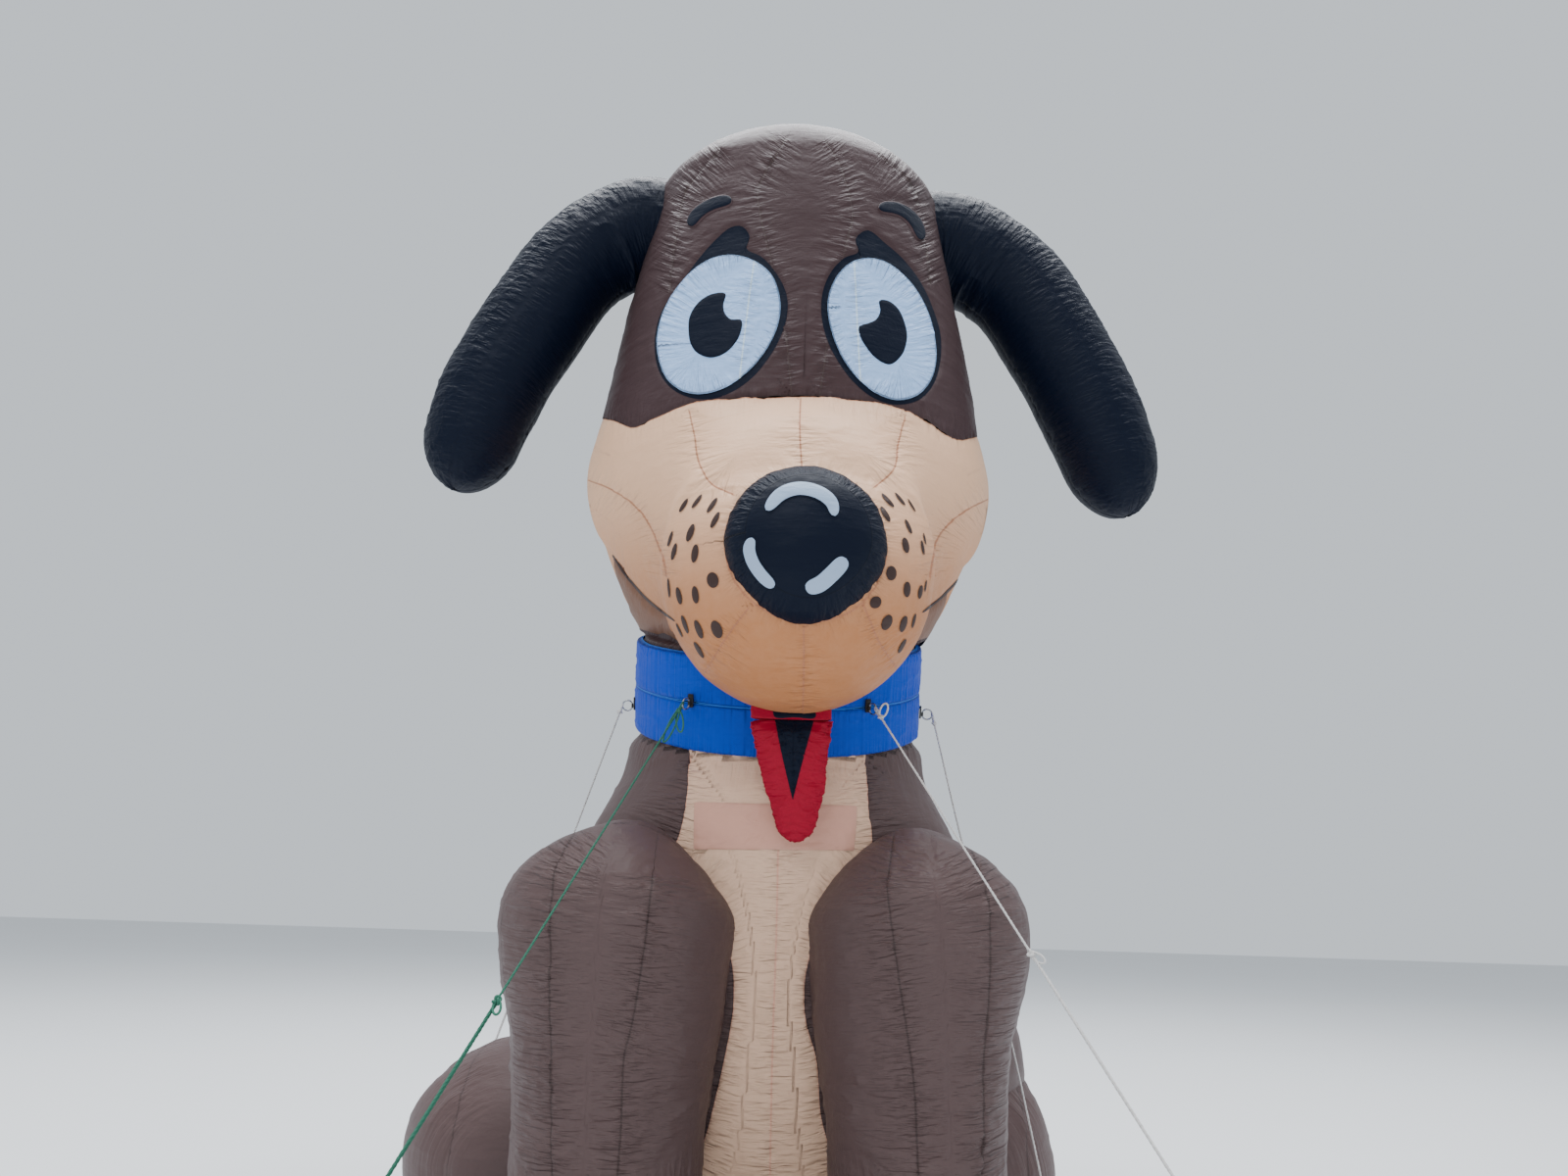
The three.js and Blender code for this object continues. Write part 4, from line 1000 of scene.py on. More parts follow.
def face():
    """Cheeks, jaws and snout as one surface, then cut apart where they are sewn."""
    centre = np.array([0.0, -0.60, 3.33])
    tilts = np.r_[np.linspace(0, 1.95, 150), np.linspace(1.95, pi, 29)[1:]]
    rays = rays_about(np.array(NOSE["centre"]) - centre, tilts, ring_of(330))
    rows = np.array([[0.0, -0.52], [0.70, -0.52], [0.70, 0.20], [0.68, 0.32], [0.60, 0.36], [0.0, 0.36]])
    plug = turned(about_neck(about_z(rows[:, :1], ring_of(96), rows[:, 1:])), -HEAD_TURN)
    of_head = joined(radii(closed_tree(head), centre, rays), radii(tree_of(plain(plug)), centre, rays), 0.08)
    of_snout = radii(closed_tree(snout), centre, rays)
    distance = joined(of_head, of_snout, 0.20)
    lead = of_snout - of_head
    own = centre + rays * distance[..., None]
    below_seam = -above_line(turned(own), FACE_SEAM, BACK_SEAM)
    crook = np.exp(-((lead / 0.50) ** 4)) * smooth(0.0, 0.05, below_seam) * smooth(3.40, 3.56, own[..., 2])
    crook = np.maximum(crook, 0.6 * np.exp(-((lead / 0.12) ** 2)) * smooth(0.05, 0.15, below_seam))
    for _ in range(470):
        mean = (np.roll(distance, 1, axis=1) + np.roll(distance, -1, axis=1)) / 4
        mean[1:-1] += (distance[:-2] + distance[2:]) / 4
        mean[[0, -1]] = distance[[0, -1]]
        distance += 0.9 * crook * (mean - distance)
    own = centre + rays * distance[..., None]
    points = turned(own)
    x, y, z = split(points)
    relief = Relief(points)
    seam = above_line(points, FACE_SEAM, BACK_SEAM)
    mouth = above_line(points, MOUTH_LINE, BACK_MOUTH)
    off_snout = 1 - smooth(-0.02, 0.02, lead)
    relief.swell(seam)
    relief.sew(seam, x, "face")
    relief.sew(mouth, x, "mouth", groove=0.016, share=off_snout, pinch=0.018)
    for line in MUZZLE_SEAMS:
        relief.sew_seen(line, "muzzle", groove=0.002, pull=2.2)
    tip = turned(np.array(NOSE["centre"], float))
    spot = z - tip[2], x - tip[0]
    front = (y < -1.0) * 1.0
    relief.sew(np.hypot(*spot) - 0.335, np.arctan2(*spot) * 0.34, "nose_edge", share=front)
    relief.crease(z, x, 0.07, 0.0022, share=relief.facing)
    relief.crumple(0.20, 0.005)
    relief.crumple(0.05, 0.0012)
    # Painted shade: the tone darkens the tan to LOW_TAN from the middle of the face down to the bottom of the
    # snout and jaws.
    tone = smooth(470, 650, relief.pixels[..., 1])
    ends = CHEEKS_END - own[..., 1]
    relief.sew(ends, z, "cheek_end", share=smooth(-0.05, 0.05, mouth))
    height, width = inside_neck(points)
    clear = np.maximum(height - COLLAR["half_height"] - 0.035, width - COLLAR["radius"] - 0.02)
    whole = clip(clip(cloth(relief, tone, seam, mouth, lead, ends, clear), CLEAR), SEAM, -1)
    rest = clip(whole, LEAD, -1)
    cheeks, jaws = clip(rest, MOUTH), clip(rest, MOUTH, -1)
    padded("snout", clip(whole, LEAD))
    padded("head_cheeks", clip(cheeks, ENDS))
    padded("head_back", clip(cheeks, ENDS, -1))
    padded("jaw_left", clip(jaws, 0, -1))
    padded("jaw_right", clip(jaws, 0))
    return tree_of(whole)


def nose():
    t, a = np.meshgrid(np.linspace(0, 2.0, 58), ring_of(250), indexing="ij")
    lower = 1 - 0.045 * np.where(np.sin(a) < 0, np.sin(2 * a) ** 2, 0) * smooth(0.3, 1.2, t)
    x, y = np.cos(a), np.sin(a)
    ball = np.stack([np.sin(t) * x, -np.cos(t), np.sin(t) * y], axis=-1)
    relief = Relief(turned(np.array(NOSE["centre"]) + ball * np.array(NOSE["half"]) * lower[..., None]))
    rim = smooth(0.80, 1.0, t) * (1 - smooth(1.5, 1.9, t))
    strong = 0.45 + 0.55 * smooth(0.2, 0.9, np.abs(x))
    folds = noise(x * 12, y * 12, t * 0.9, 4) + 0.7 * noise(x * 26, y * 26, t * 1.5, 5)
    relief.height += 0.0032 * rim * strong * folds
    relief.seam = (t - 0.86) * 0.3
    relief.near = 0.6 * np.exp(-((relief.seam / 0.02) ** 2))
    relief.run = 0.34 * (a - tau * (a > pi))
    relief.pull = 0.8 * rim * strong
    relief.crumple(0.05, 0.0015)
    part = cloth(relief)
    padded("nose", part)
    return tree_of(part)


# Patches sewn on the head

EYES = {
    "left": {
        "rim": [
            (668, 354), (671, 330), (678, 313), (697, 286), (714, 263), (731, 244), (746, 232), (757, 231),
            (765, 241), (762, 254), (777, 262), (793, 280), (803, 302), (803, 323), (796, 345), (784, 366),
            (767, 386), (747, 400), (727, 407), (705, 406), (686, 397), (673, 380),
        ],
        "white": [
            (671, 354), (673, 334), (680, 313), (692, 293), (708, 276), (728, 264), (751, 261), (772, 268),
            (788, 282), (796, 306), (795, 328), (787, 349), (773, 370), (755, 387), (734, 399), (712, 403),
            (693, 398), (679, 384),
        ],
        "pupil": [
            (704, 341), (705, 325), (713, 311), (726, 302), (741, 301), (739, 312), (740, 320), (746, 327),
            (757, 328), (755, 344), (746, 357), (736, 364), (724, 366), (712, 361), (706, 352),
        ],
        "seam": [(770, 268), (763, 320), (755, 388)],
        "brow": [(704, 231), (711, 220), (721, 212), (733, 207), (747, 204)],
    },
    "right": {
        "rim": [
            (838, 320), (840, 296), (849, 276), (862, 263), (876, 257), (873, 244), (885, 235), (904, 249),
            (922, 265), (940, 289), (953, 318), (960, 345), (959, 371), (952, 393), (938, 408), (915, 413),
            (893, 407), (874, 393), (857, 372), (844, 347),
        ],
        "white": [
            (844, 315), (847, 296), (856, 279), (869, 268), (885, 264), (903, 268), (920, 280), (935, 298),
            (947, 322), (953, 346), (954, 370), (948, 390), (935, 404), (915, 409), (895, 403), (877, 389),
            (861, 369), (850, 345),
        ],
        "pupil": [
            (876, 334), (885, 331), (893, 327), (897, 318), (896, 308), (904, 308), (914, 315), (921, 329),
            (924, 345), (919, 363), (907, 373), (893, 367), (882, 354), (876, 342),
        ],
        "seam": [(871, 270), (874, 330), (877, 391)],
        "brow": [(896, 212), (907, 212), (917, 214), (927, 220), (934, 228), (938, 237), (940, 245)],
    },
}


def laid(
    pixels, inwards, wrap, tree, lift=0.004, edge=0.003, stitch=None, pull=1.5, folds=0.0, seams=(),
    outline=None,
):
    """A thin piece of cloth over picture places, sewn flat on the surface behind them.

    What is inwards is each pixel's distance from the edge of the piece.
    """
    points, normals = np.zeros((2, *pixels.shape[:2], 3))
    reach = 5.0
    for index in np.ndindex(pixels.shape[:2]):
        hit, normal, _, distance = tree.ray_cast(Vector(EYE), sight(pixels[index]))
        if hit is None:
            hit, normal, _, _ = tree.find_nearest(Vector(EYE) + sight(pixels[index]) * reach)
        else:
            reach = distance
        points[index], normals[index] = hit, normal
    normals *= np.where(np.sum(normals * (EYE - points), axis=-1) < 0, -1, 1)[..., None]
    relief = Relief(points, normals)
    inwards = np.clip(inwards * relief.scale, 0, 1)
    relief.height += lift - edge * np.exp(-inwards / 0.006)
    if stitch:
        _, along = nearest(pixels, closed(outline))
        share = smooth(0.0, 0.008, inwards)
        relief.sew(inwards, along * 0.005, stitch, groove=0.0, share=share, pull=pull)
    relief.near *= 0
    for seam in seams:
        relief.sew_seen(seam, "eye_middle", groove=0.0006, pull=4.0)
    relief.crumple(0.05, 0.0008)
    if folds:
        x, _, z = split(points)
        relief.crease(z - 0.6 * x, x, 0.032, folds, share=smooth(0.0, 0.03, inwards), long=3.0)
    return cloth(relief, wrap=wrap)


def patch(name, outline, tree, node=None, slot=None, rings=26, around=120, body="dog", **how):
    """A thin piece inside an outline that can be seen whole from its middle."""
    line = smooth_line(outline, around, True)
    middle = line.mean(axis=0)
    pixels = middle + (line - middle) * (np.linspace(0, 1, rings) ** 0.8)[:, None, None]
    part = laid(pixels, within(pixels, line), True, tree, outline=line, **how)
    return shown(name, part, node, slot, body=body)


def strip(name, line, half, tree, node=None, slot=None, material=None, across=9, count=60, **how):
    """A thin strip along a line, rounded at its ends."""
    line = smooth_line(line, count)
    direction = unit(np.gradient(line, axis=0))
    wide = half * np.maximum(1 - np.abs(np.linspace(-1, 1, count)) ** 6, 0) ** 0.5 + 0.15
    aside = np.stack([-direction[:, 1], direction[:, 0]], axis=-1) * wide[:, None]
    offsets = np.linspace(-1, 1, across)
    pixels = line[:, None] + aside[:, None] * offsets[None, :, None]
    part = laid(pixels, wide[:, None] * (1 - np.abs(offsets)), False, tree, **how)
    shown(name, part, node, slot, material)


def eyes(tree):
    for side, eye in EYES.items():
        patch(f"sewn_eye_rim_{side}", eye["rim"], tree, f"eye_rim_{side}")
        patch(
            f"sewn_eye_white_{side}", eye["white"], tree, f"eye_white_{side}",
            lift=0.011, rings=36, around=200, stitch="eye_edge", pull=4.5, folds=0.0022, seams=[eye["seam"]],
        )
        patch(f"sewn_pupil_{side}", eye["pupil"], tree, f"pupil_{side}", lift=0.016, rings=16, around=80)


def brows_and_marks(crown_surface, face_surface, nose_surface):
    edge = {"slot": "brown_fabric", "material": BROW_EDGE, "lift": 0.005}
    for side, eye in EYES.items():
        strip(f"brow_edge_{side}", eye["brow"], 7.0, crown_surface, **edge)
        strip(f"sewn_eyebrow_{side}", eye["brow"], 5.6, crown_surface, f"eyebrow_{side}", lift=0.010)
    seam = {"slot": "brown_fabric", "material": MARK_BROWN, "across": 4, "count": 90, "lift": 0.005}
    for side, line in MOUTH_SEEN.items():
        strip(f"mouth_seam_{side}", line, 1.1, face_surface, **seam)
    shine = {"slot": "white_fabric", "material": SHINE_WHITE, "lift": 0.008}
    for number, (line, half) in enumerate(SHINES):
        strip(f"shine_edge_{number}", line, half + 1.3, nose_surface, slot="black_fabric")
        strip(f"nose_shine_{number}", line, half, nose_surface, **shine)
    turn = ring_of(24)
    shares = np.linspace(0, 1, 6)[:, None, None]
    for side, rows in MARKS.items():
        marks = []
        for x, y, half_width, half_height, lean in rows:
            flat = np.stack([np.cos(turn) * half_width, np.sin(turn) * half_height, 0 * turn], axis=-1)
            pixels = np.array([x, y]) + turned(flat, radians(lean))[:, :2] * shares
            inwards = (1 - shares[..., 0]) * half_width + 0 * turn
            marks.append(laid(pixels, inwards, True, face_surface, lift=0.006, edge=0.002))
        shown(f"whisker_marks_{side}", gathered(marks), slot="brown_fabric", material=MARK_BROWN)


def ear(side):
    around = directions(190)
    place, points = woven(Form(EARS[side], end_dome=0.30), 0.0145, around)
    relief = Relief(turned(points))
    outer = 0.0 if side == "left" else pi
    upper = smooth(-0.55, 0.45, np.cos(around - outer) + 0 * place)
    away = np.abs(off(around, outer))
    run = around * 0.28
    relief.crease(place + 0.08 * away, run, 0.040, 0.0040, share=upper, long=3.0)
    relief.crease(place, run, 0.026, 0.0020, share=upper, long=3.5)
    relief.crease(place, run, 0.11, 0.014, share=(1 - upper) * smooth(0.75, 0.35, place), long=3.0)
    relief.crease(place, run, 0.05, 0.0016, share=1 - upper)
    relief.seams_round(around, (outer, outer + pi), 0.28, place, "ear")
    relief.pull = 0.9 * np.exp(-away / 1.1) + 0.25
    relief.crumple(0.16, 0.004)
    padded(f"ear_{side}", cloth(relief))


# Neck and collar


def neck(face_surface):
    """A band under the collar that opens at its top to meet the jaws from inside."""
    around = directions(200)
    rows = np.r_[np.linspace(-NECK["below"], 0.23, 30), np.linspace(0.24, 0.29, 12)]
    height = rows[:, None] + 0 * around
    axis = about_neck(np.array([0.0, 0.0, 0.28]))
    jaws = np.zeros(around.shape)
    for k, turn in enumerate(around):
        outwards = about_neck(about_z(1.0, turn, 0.28)) - axis
        jaws[k] = face_surface.ray_cast(Vector(axis), Vector(outwards))[3] or NECK["radius"]
    opened = np.clip(jaws - 0.006 - NECK["radius"], -0.05, 0.08) * smooth(0.246, 0.262, height)
    radius = NECK["radius"] + opened - 0.06 * smooth(-0.45, -0.51, height)
    relief = Relief(about_neck(about_z(radius, around, height)))
    relief.sew(np.abs(height) - COLLAR["half_height"] - 0.012, around * 0.7, "neck")
    relief.crumple(0.1, 0.002)
    padded("neck", cloth(relief, smooth(0.1, -0.1, height)))


def collar_band(name, low, high):
    around = directions(320)
    across = np.linspace(-1, 1, 26)[:, None] + 0 * around
    half = (high - low) / 2
    height = (low + high) / 2 + half * across
    bulge = np.maximum(1 - np.abs(across) ** 14, 0) ** 0.5
    outer = smooth(0.86, 0.97, across * np.sign(low + high))
    radius = COLLAR["radius"] - 0.004 - 0.030 * outer * (1 - bulge) - 0.003 * (1 - outer) * (1 - bulge)
    relief = Relief(about_neck(about_z(radius, around, height)))
    run = around * COLLAR["radius"]
    edge = half * (1 - np.abs(across))
    inner = smooth(0.0, 0.04, edge)
    relief.sew(edge, run, "collar_edge", groove=0.0, share=smooth(0.0, 0.02, edge), pull=2.4)
    relief.crease(height + 0.05 * np.sin(run * 2.1), run, 0.055, 0.0045, share=inner, long=6.0)
    relief.crease(run, height, 0.16, 0.003, share=inner)
    for turn in TIES:
        tie = np.exp(-(((around - turn) * 0.74) ** 2 + height**2) / 0.10**2)
        relief.height -= 0.010 * tie
        relief.crease(height, run, 0.030, 0.007, share=tie)
    relief.crumple(0.15, 0.003)
    relief.seam = np.minimum(edge, 0.02)
    relief.near = np.exp(-((edge / 0.010) ** 2))
    padded(name, cloth(relief), fill=0.9)


# Body


def torso():
    around = directions(330, width=1.5)
    place, points = woven(Form(TORSO, upright=True), 0.0215, around)
    x, y, z = split(points)
    relief = Relief(points)
    outline = smooth_line(BELLY_EDGE, 400, True)
    belly = np.where(y < 0, within(relief.pixels, outline) * relief.scale, -1.0)
    _, along = nearest(relief.pixels, closed(outline))
    relief.sew(belly, along * 0.005, "belly_edge", share=smooth(-0.05, -0.15, y), pull=1.8)
    inside = smooth(-0.01, 0.02, belly)
    relief.sew_seen(BELLY_SEAM, "belly_middle", share=inside, pull=1.8)
    relief.crease(z, x, 0.042, 0.0045, share=inside)
    relief.crease(z, x, 0.026, 0.002, share=inside)
    relief.crease(z, around, 0.11, 0.004, share=(1 - inside) * 0.8)
    turns = (0.0, pi, pi / 2, pi / 2 - 0.9, pi / 2 + 0.9)
    relief.seams_round(around, turns, widths(points[..., :2]), place, "torso")
    neck_line = (z - 2.27) - 0.36 * (y + 0.69)
    relief.sew(neck_line, around * 0.7, "neck_foot", groove=0.0, share=smooth(0.0, -0.04, neck_line))
    relief.near *= smooth(0.0, 0.03, np.abs(neck_line))
    relief.height -= 0.012 * smooth(-0.10, -0.01, neck_line)
    _, out = inside_neck(points)
    relief.height -= np.clip(out - NECK["radius"] + 0.010, 0, 0.06) * smooth(2.38, 2.55, z)
    relief.crumple(0.25, 0.008)
    relief.crumple(0.06, 0.0018)
    panel = clip(cloth(relief, 0.12, belly), FIRST_CUT)
    padded("belly_panel", panel, material=BELLY_TAN)
    padded("torso", clip(cloth(relief, 1.0, belly), FIRST_CUT, -1))
    patch(
        "sewn_banner_patch", BANNER_EDGE, tree_of(panel), "banner_patch",
        around=200, lift=0.008, edge=0.004, folds=0.0026,
    )


def front_leg(side):
    around = directions(245)
    place, points = woven(Form(FRONT_LEGS[side], start_dome=0.40), 0.0145, around)
    x, y, z = split(points)
    relief = Relief(points)
    for line in LEG_SEAMS[side]:
        relief.sew_seen(line, "leg_front", pull=1.7)
    low = smooth(1020, 1110, relief.pixels[..., 1]) * relief.facing
    relief.crease(z - 0.12 * x, x, 0.055, 0.0060, share=low, long=4.0)
    relief.crease(z + 0.1 * x, x, 0.065, 0.0030, long=3.0)
    relief.crease(z, y, 0.045, 0.0016, long=3.0)
    behind = 1 - relief.facing
    relief.seams_round(around, (0.0, pi, pi / 2), widths(points), place, "leg_back", share=behind)
    seam = z - PAW_SEAM
    relief.sew(seam, around * 0.42, "paw")
    relief.crumple(0.20, 0.008)
    relief.crumple(0.06, 0.0018)
    padded(f"front_leg_{side}", clip(cloth(relief, 1.0, seam), FIRST_CUT))


def on_ground(distance, centre, rays):
    """Rays that end at the ground at the latest, rounded at its edge."""
    down = np.where(rays[..., 2] < -1e-3, centre[2] / np.maximum(-rays[..., 2], 1e-3), 1e3)
    return -joined(-distance, -np.minimum(down, distance + 1), 0.03)


def blob(node, centre, counts, sizes, seams, top=None):
    """A chamber seen out from its centre: sizes gives how far each ray runs, and seams moves its surface."""
    centre = np.array(centre, float)
    rays = rays_about((0, -1, 0), np.linspace(0, pi, counts[0]), ring_of(counts[1]))
    distance = on_ground(sizes(rays), centre, rays)
    points = centre + rays * distance[..., None]
    x, y, z = split(points)
    relief = Relief(points)
    seams(relief, x, y, z)
    relief.height *= smooth(0.0, 0.05, z)
    padded(node, clip(cloth(relief, 1.0, top - z), FIRST_CUT) if top else cloth(relief, 1.0))


def lying(rows):
    """A paw or a foot, closed at both ends."""
    return closed_tree(Form(rows, across=(0, 0, 1), start_dome=0.26, end_dome=0.26))


def front_paw(side):
    sign = SIGN[side]
    paw = lying([[x * sign, *rest] for x, *rest in FRONT_PAW])
    leg = closed_tree(Form(FRONT_LEGS[side], start_dome=0.40))
    centre = (0.655 * sign, -0.76, 0.255)

    def sizes(rays):
        return joined(radii(paw, centre, rays), radii(leg, centre, rays), 0.09)

    def seams(relief, x, y, z):
        front = smooth(-0.98, -1.12, y)
        for offset in (-0.15, 0.15):
            gap = x - 0.672 * sign - offset * (1 + 0.25 * (y + 1.3))
            relief.sew(gap, z - y, "toe", groove=0.03, share=front, pinch=0.03)
        relief.sew(z - PAW_SEAM, x + y, "paw")
        relief.sew(z - BASE_SEAM, x - y, "base")
        relief.crease(z, x, 0.08, 0.004)
        relief.crumple(0.2, 0.008)

    blob(f"front_paw_{side}", centre, (84, 150), sizes, seams, PAW_SEAM)


def haunch(side):
    row = HAUNCHES[side]
    half = np.array(row["half"])

    def sizes(rays):
        return 1 / np.linalg.norm(rays / half, axis=-1)

    def seams(relief, x, y, z):
        relief.sew(y - row["centre"][1], z, "haunch_round")
        relief.sew(z - BASE_SEAM, y, "base")
        relief.sew(x - row["centre"][0] - 0.30 * SIGN[side], y, "haunch_side")
        relief.crease(z, y, 0.08, 0.004)
        relief.crumple(0.2, 0.008)

    blob(f"haunch_{side}", row["centre"], (76, 140), sizes, seams)


def hind_foot(side):
    middle = HAUNCHES[side]["foot_x"]
    foot = lying([[middle, *rest] for _, *rest in HIND_FOOT])
    centre = (middle, 0.10, 0.215)

    def sizes(rays):
        return radii(foot, centre, rays)

    def seams(relief, x, y, z):
        front = smooth(-0.10, -0.22, y)
        for offset in (-0.11, 0.11):
            gap = x - middle - offset
            relief.sew(gap, z - y, "hind_toe", groove=0.025, share=front, pinch=0.028)
        relief.sew(z - BASE_SEAM, x - y, "base")
        relief.crumple(0.15, 0.006)

    blob(f"hind_foot_{side}", centre, (58, 116), sizes, seams)


def tail():
    around = directions(76, pi / 2, 1.0)
    place, points = woven(Form(TAIL, end_dome=0.15), 0.019, around)
    relief = Relief(points)
    relief.crease(place, around * 0.16, 0.06, 0.005, long=2.5)
    relief.seams_round(around, (0.0, pi), 0.16, place, "tail")
    padded("tail", cloth(relief, 1.0))


# Tongue


def baked(piece):
    """The piece's mesh with its modifiers applied."""
    graph = bpy.context.evaluated_depsgraph_get()
    return bpy.data.meshes.new_from_object(piece.evaluated_get(graph))


def places_of(mesh):
    flat = np.zeros(len(mesh.vertices) * 3)
    mesh.vertices.foreach_get("co", flat)
    return flat.reshape(-1, 3)


def swelled(part, seam_gap):
    """A closed form, remeshed and filled with air by a cloth simulation that holds it at its seams."""
    scene = bpy.context.scene
    mesh = bpy.data.meshes.new("pad")
    mesh.from_pydata(part[0][:, :3].tolist(), [], part[1].tolist())
    pad = placed("pad", mesh)
    remesh = pad.modifiers.new("remesh", "REMESH")
    remesh.mode = "VOXEL"
    remesh.voxel_size = AIR["voxel"]
    pad.data = baked(pad)
    pad.modifiers.clear()
    start = places_of(pad.data)
    held = pad.vertex_groups.new(name="seam")
    held.add(np.nonzero(seam_gap(start) < AIR["voxel"])[0].tolist(), 1.0, "REPLACE")
    air = pad.modifiers.new("air", "CLOTH").settings
    air.effector_weights.gravity = 0
    air.use_pressure = True
    air.uniform_pressure_force = AIR["pressure"]
    air.vertex_group_mass = "seam"
    air.shrink_min = -0.06
    air.mass = 0.2
    air.bending_stiffness = 0.1
    for step in range(1, 21):
        scene.frame_set(step)
    moved = places_of(baked(pad)) - start
    pad.modifiers.clear()
    scene.frame_set(1)
    far = np.linalg.norm(moved, axis=1, keepdims=True)
    moved *= np.minimum(1, AIR["most"] / np.maximum(far, 1e-9))
    pad.data.vertices.foreach_set("co", (start + moved).reshape(-1))
    pad.modifiers.new("finer", "SUBSURF").levels = 1
    done = baked(pad)
    done.calc_loop_triangles()
    corners = np.zeros(len(done.loop_triangles) * 3, int)
    done.loop_triangles.foreach_get("vertices", corners)
    bpy.data.objects.remove(pad)
    return places_of(done), corners.reshape(-1, 3)


def vertex_normals(points, faces):
    a, b, c = (points[faces[:, k]] for k in range(3))
    flat = np.cross(b - a, c - a)
    total = np.zeros(points.shape)
    for k in range(3):
        np.add.at(total, faces[:, k], flat)
    return unit(total)


def slim(points, room):
    """Points of the tongue, with its roll drawn in to a radius that turns under the hem."""
    out = points - [0.0, TONGUE_Y, HINGE_HEIGHT]
    room = room + 0.5 * np.maximum(-out[:, 2], 0)
    share = np.minimum(1, room / np.hypot(out[:, 1], np.maximum(out[:, 2], 0)).clip(1e-9))
    moved = points.copy()
    moved[:, 1] -= out[:, 1] * (1 - share)
    moved[:, 2] -= np.maximum(out[:, 2], 0) * (1 - share)
    return moved


def tongue():
    """A pad sewn along its edge, with the black wedge on its front."""
    form = Form(TONGUE, start_dome=0.030, end_dome=0.075, square=2.8)
    around = ring_of(96)
    place = places(form, 0.008)[:, None] + 0 * around
    grid = form.at(place, around, -0.005)
    high = np.clip((0.030 - place[:, :1]) / 0.025, 0, 1)
    square = (1 - high**6) ** (1 / 6) / np.maximum((1 - high**2) ** 0.5, 0.08)
    centre_line = grid[..., 0].mean(axis=1, keepdims=True)
    grid[..., 0] = centre_line + (grid[..., 0] - centre_line) * square
    middle = grid.mean(axis=1)[:, 0]
    edge = form.at(place[:, 0], 0 * place[:, 0])

    def seam_gap(points):
        x, y, z = points.T
        half = np.interp(-z, -edge[:, 2], np.abs(edge[:, 0] - middle))
        return np.hypot(y - TONGUE_Y, half - 0.005 - np.abs(x - np.interp(-z, -edge[:, 2], middle)))

    points, faces = swelled(plain(grid), seam_gap)
    x, _, z = points.T
    relief = Relief(points, vertex_normals(points, faces))
    relief.sew(seam_gap(points), z, "tongue", groove=0.002, pull=3.0)
    relief.crease(z + 0.25 * np.abs(x - 0.07), x, 0.024, 0.0050, long=2.6)
    relief.crease(z, x, 0.014, 0.0020, long=2.6)
    data = columns(relief)
    data[:, :3] = slim(data[:, :3], HEM["roll_room"])
    padded("tongue", (data, faces), fill=0.7, body="tongue_flap")
    wedge = patch(
        "sewn_tongue_wedge", WEDGE, tree_of((data, faces)), "tongue_wedge",
        rings=24, around=150, body="tongue_flap", edge=0.002, stitch="wedge_edge", folds=0.0022,
    )
    wedge.data.vertices.foreach_set("co", slim(places_of(wedge.data), HEM["roll_room"] + 0.004).reshape(-1))


def hem(face_surface):
    """The hem from the tongue's top up to the snout, gathered, with its own end of the black wedge."""
    turns = ring_of(120)
    x = HEM["x"] + bent(np.cos(turns), 0.35) * HEM["half_width"]
    y = TONGUE_Y + bent(np.sin(turns), 0.6) * HEM["half_depth"]

    def arch(part):
        aside = (y - TONGUE_Y) * part
        height = HINGE_HEIGHT + np.sqrt(HEM["over_roll"] ** 2 - aside**2)
        return np.stack([x, TONGUE_Y + aside, height], axis=-1)

    low = arch(1.0)[:, 2]
    hits = [face_surface.ray_cast(Vector(start), Vector((0, 0, 1)))[0] for start in zip(x, y, low)]
    top = np.array(hits)[:, 2] - 0.002
    share = np.linspace(0, 1, 24)[:, None]
    grid = np.stack([x + 0 * share, y + 0 * share, low + (top - low) * share], axis=-1)
    under = np.stack([arch(part) for part in (0.0, 0.35, 0.7)])
    cover = np.broadcast_to(grid[-1].mean(axis=0), grid[:1].shape)
    points = np.concatenate([under, grid, cover], axis=0)
    relief = Relief(points)
    body = np.vstack([np.zeros((len(under), 1)), smooth(0, 0.2, share), [0.0]])
    relief.crease(points[..., 0], points[..., 2], 0.022, 0.0030, share=body)
    part = cloth(relief)
    padded("tongue_hem", part, fill=0.5)
    patch("hem_wedge", HEM_WEDGE, tree_of(part), slot="black_fabric", rings=14, around=80, lift=0.003)


# Ropes, rings, tabs and stakes


def across_path(path):
    """Two directions across a path, that don't twist along it."""
    along = unit(np.gradient(path, axis=0))
    side = np.zeros(path.shape)
    side[0] = unit(np.cross(along[0], [0.3, 0.1, 1.0]))
    for k in range(1, len(path)):
        side[k] = unit(side[k - 1] - np.dot(side[k - 1], along[k]) * along[k])
    return side, np.cross(along, side)


def tube(path, radius, around=8):
    """A round tube along points."""
    path = np.asarray(path, float)
    side, up = across_path(path)
    turns = ring_of(around)[:, None]
    ring = np.cos(turns) * side[:, None] + np.sin(turns) * up[:, None]
    return plain(path[:, None] + ring * np.broadcast_to(radius, len(path))[:, None, None])


def strands(points):
    """A laid rope of three strands along a curve through points."""
    points = np.asarray(points, float)
    lays = np.linalg.norm(np.diff(points, axis=0), axis=1).sum() / ROPE["pitch"]
    path = smooth_line(points, int(lays * 5) + 2)
    side, up = across_path(path)
    run = np.linspace(0, lays * tau, len(path))
    parts = []
    for k in range(3):
        turn = (run + k * tau / 3)[:, None]
        centre = path + (np.cos(turn) * side + np.sin(turn) * up) * ROPE["radius"] * 0.50
        parts.append(tube(centre, ROPE["radius"] * 0.52, 5))
    return parts


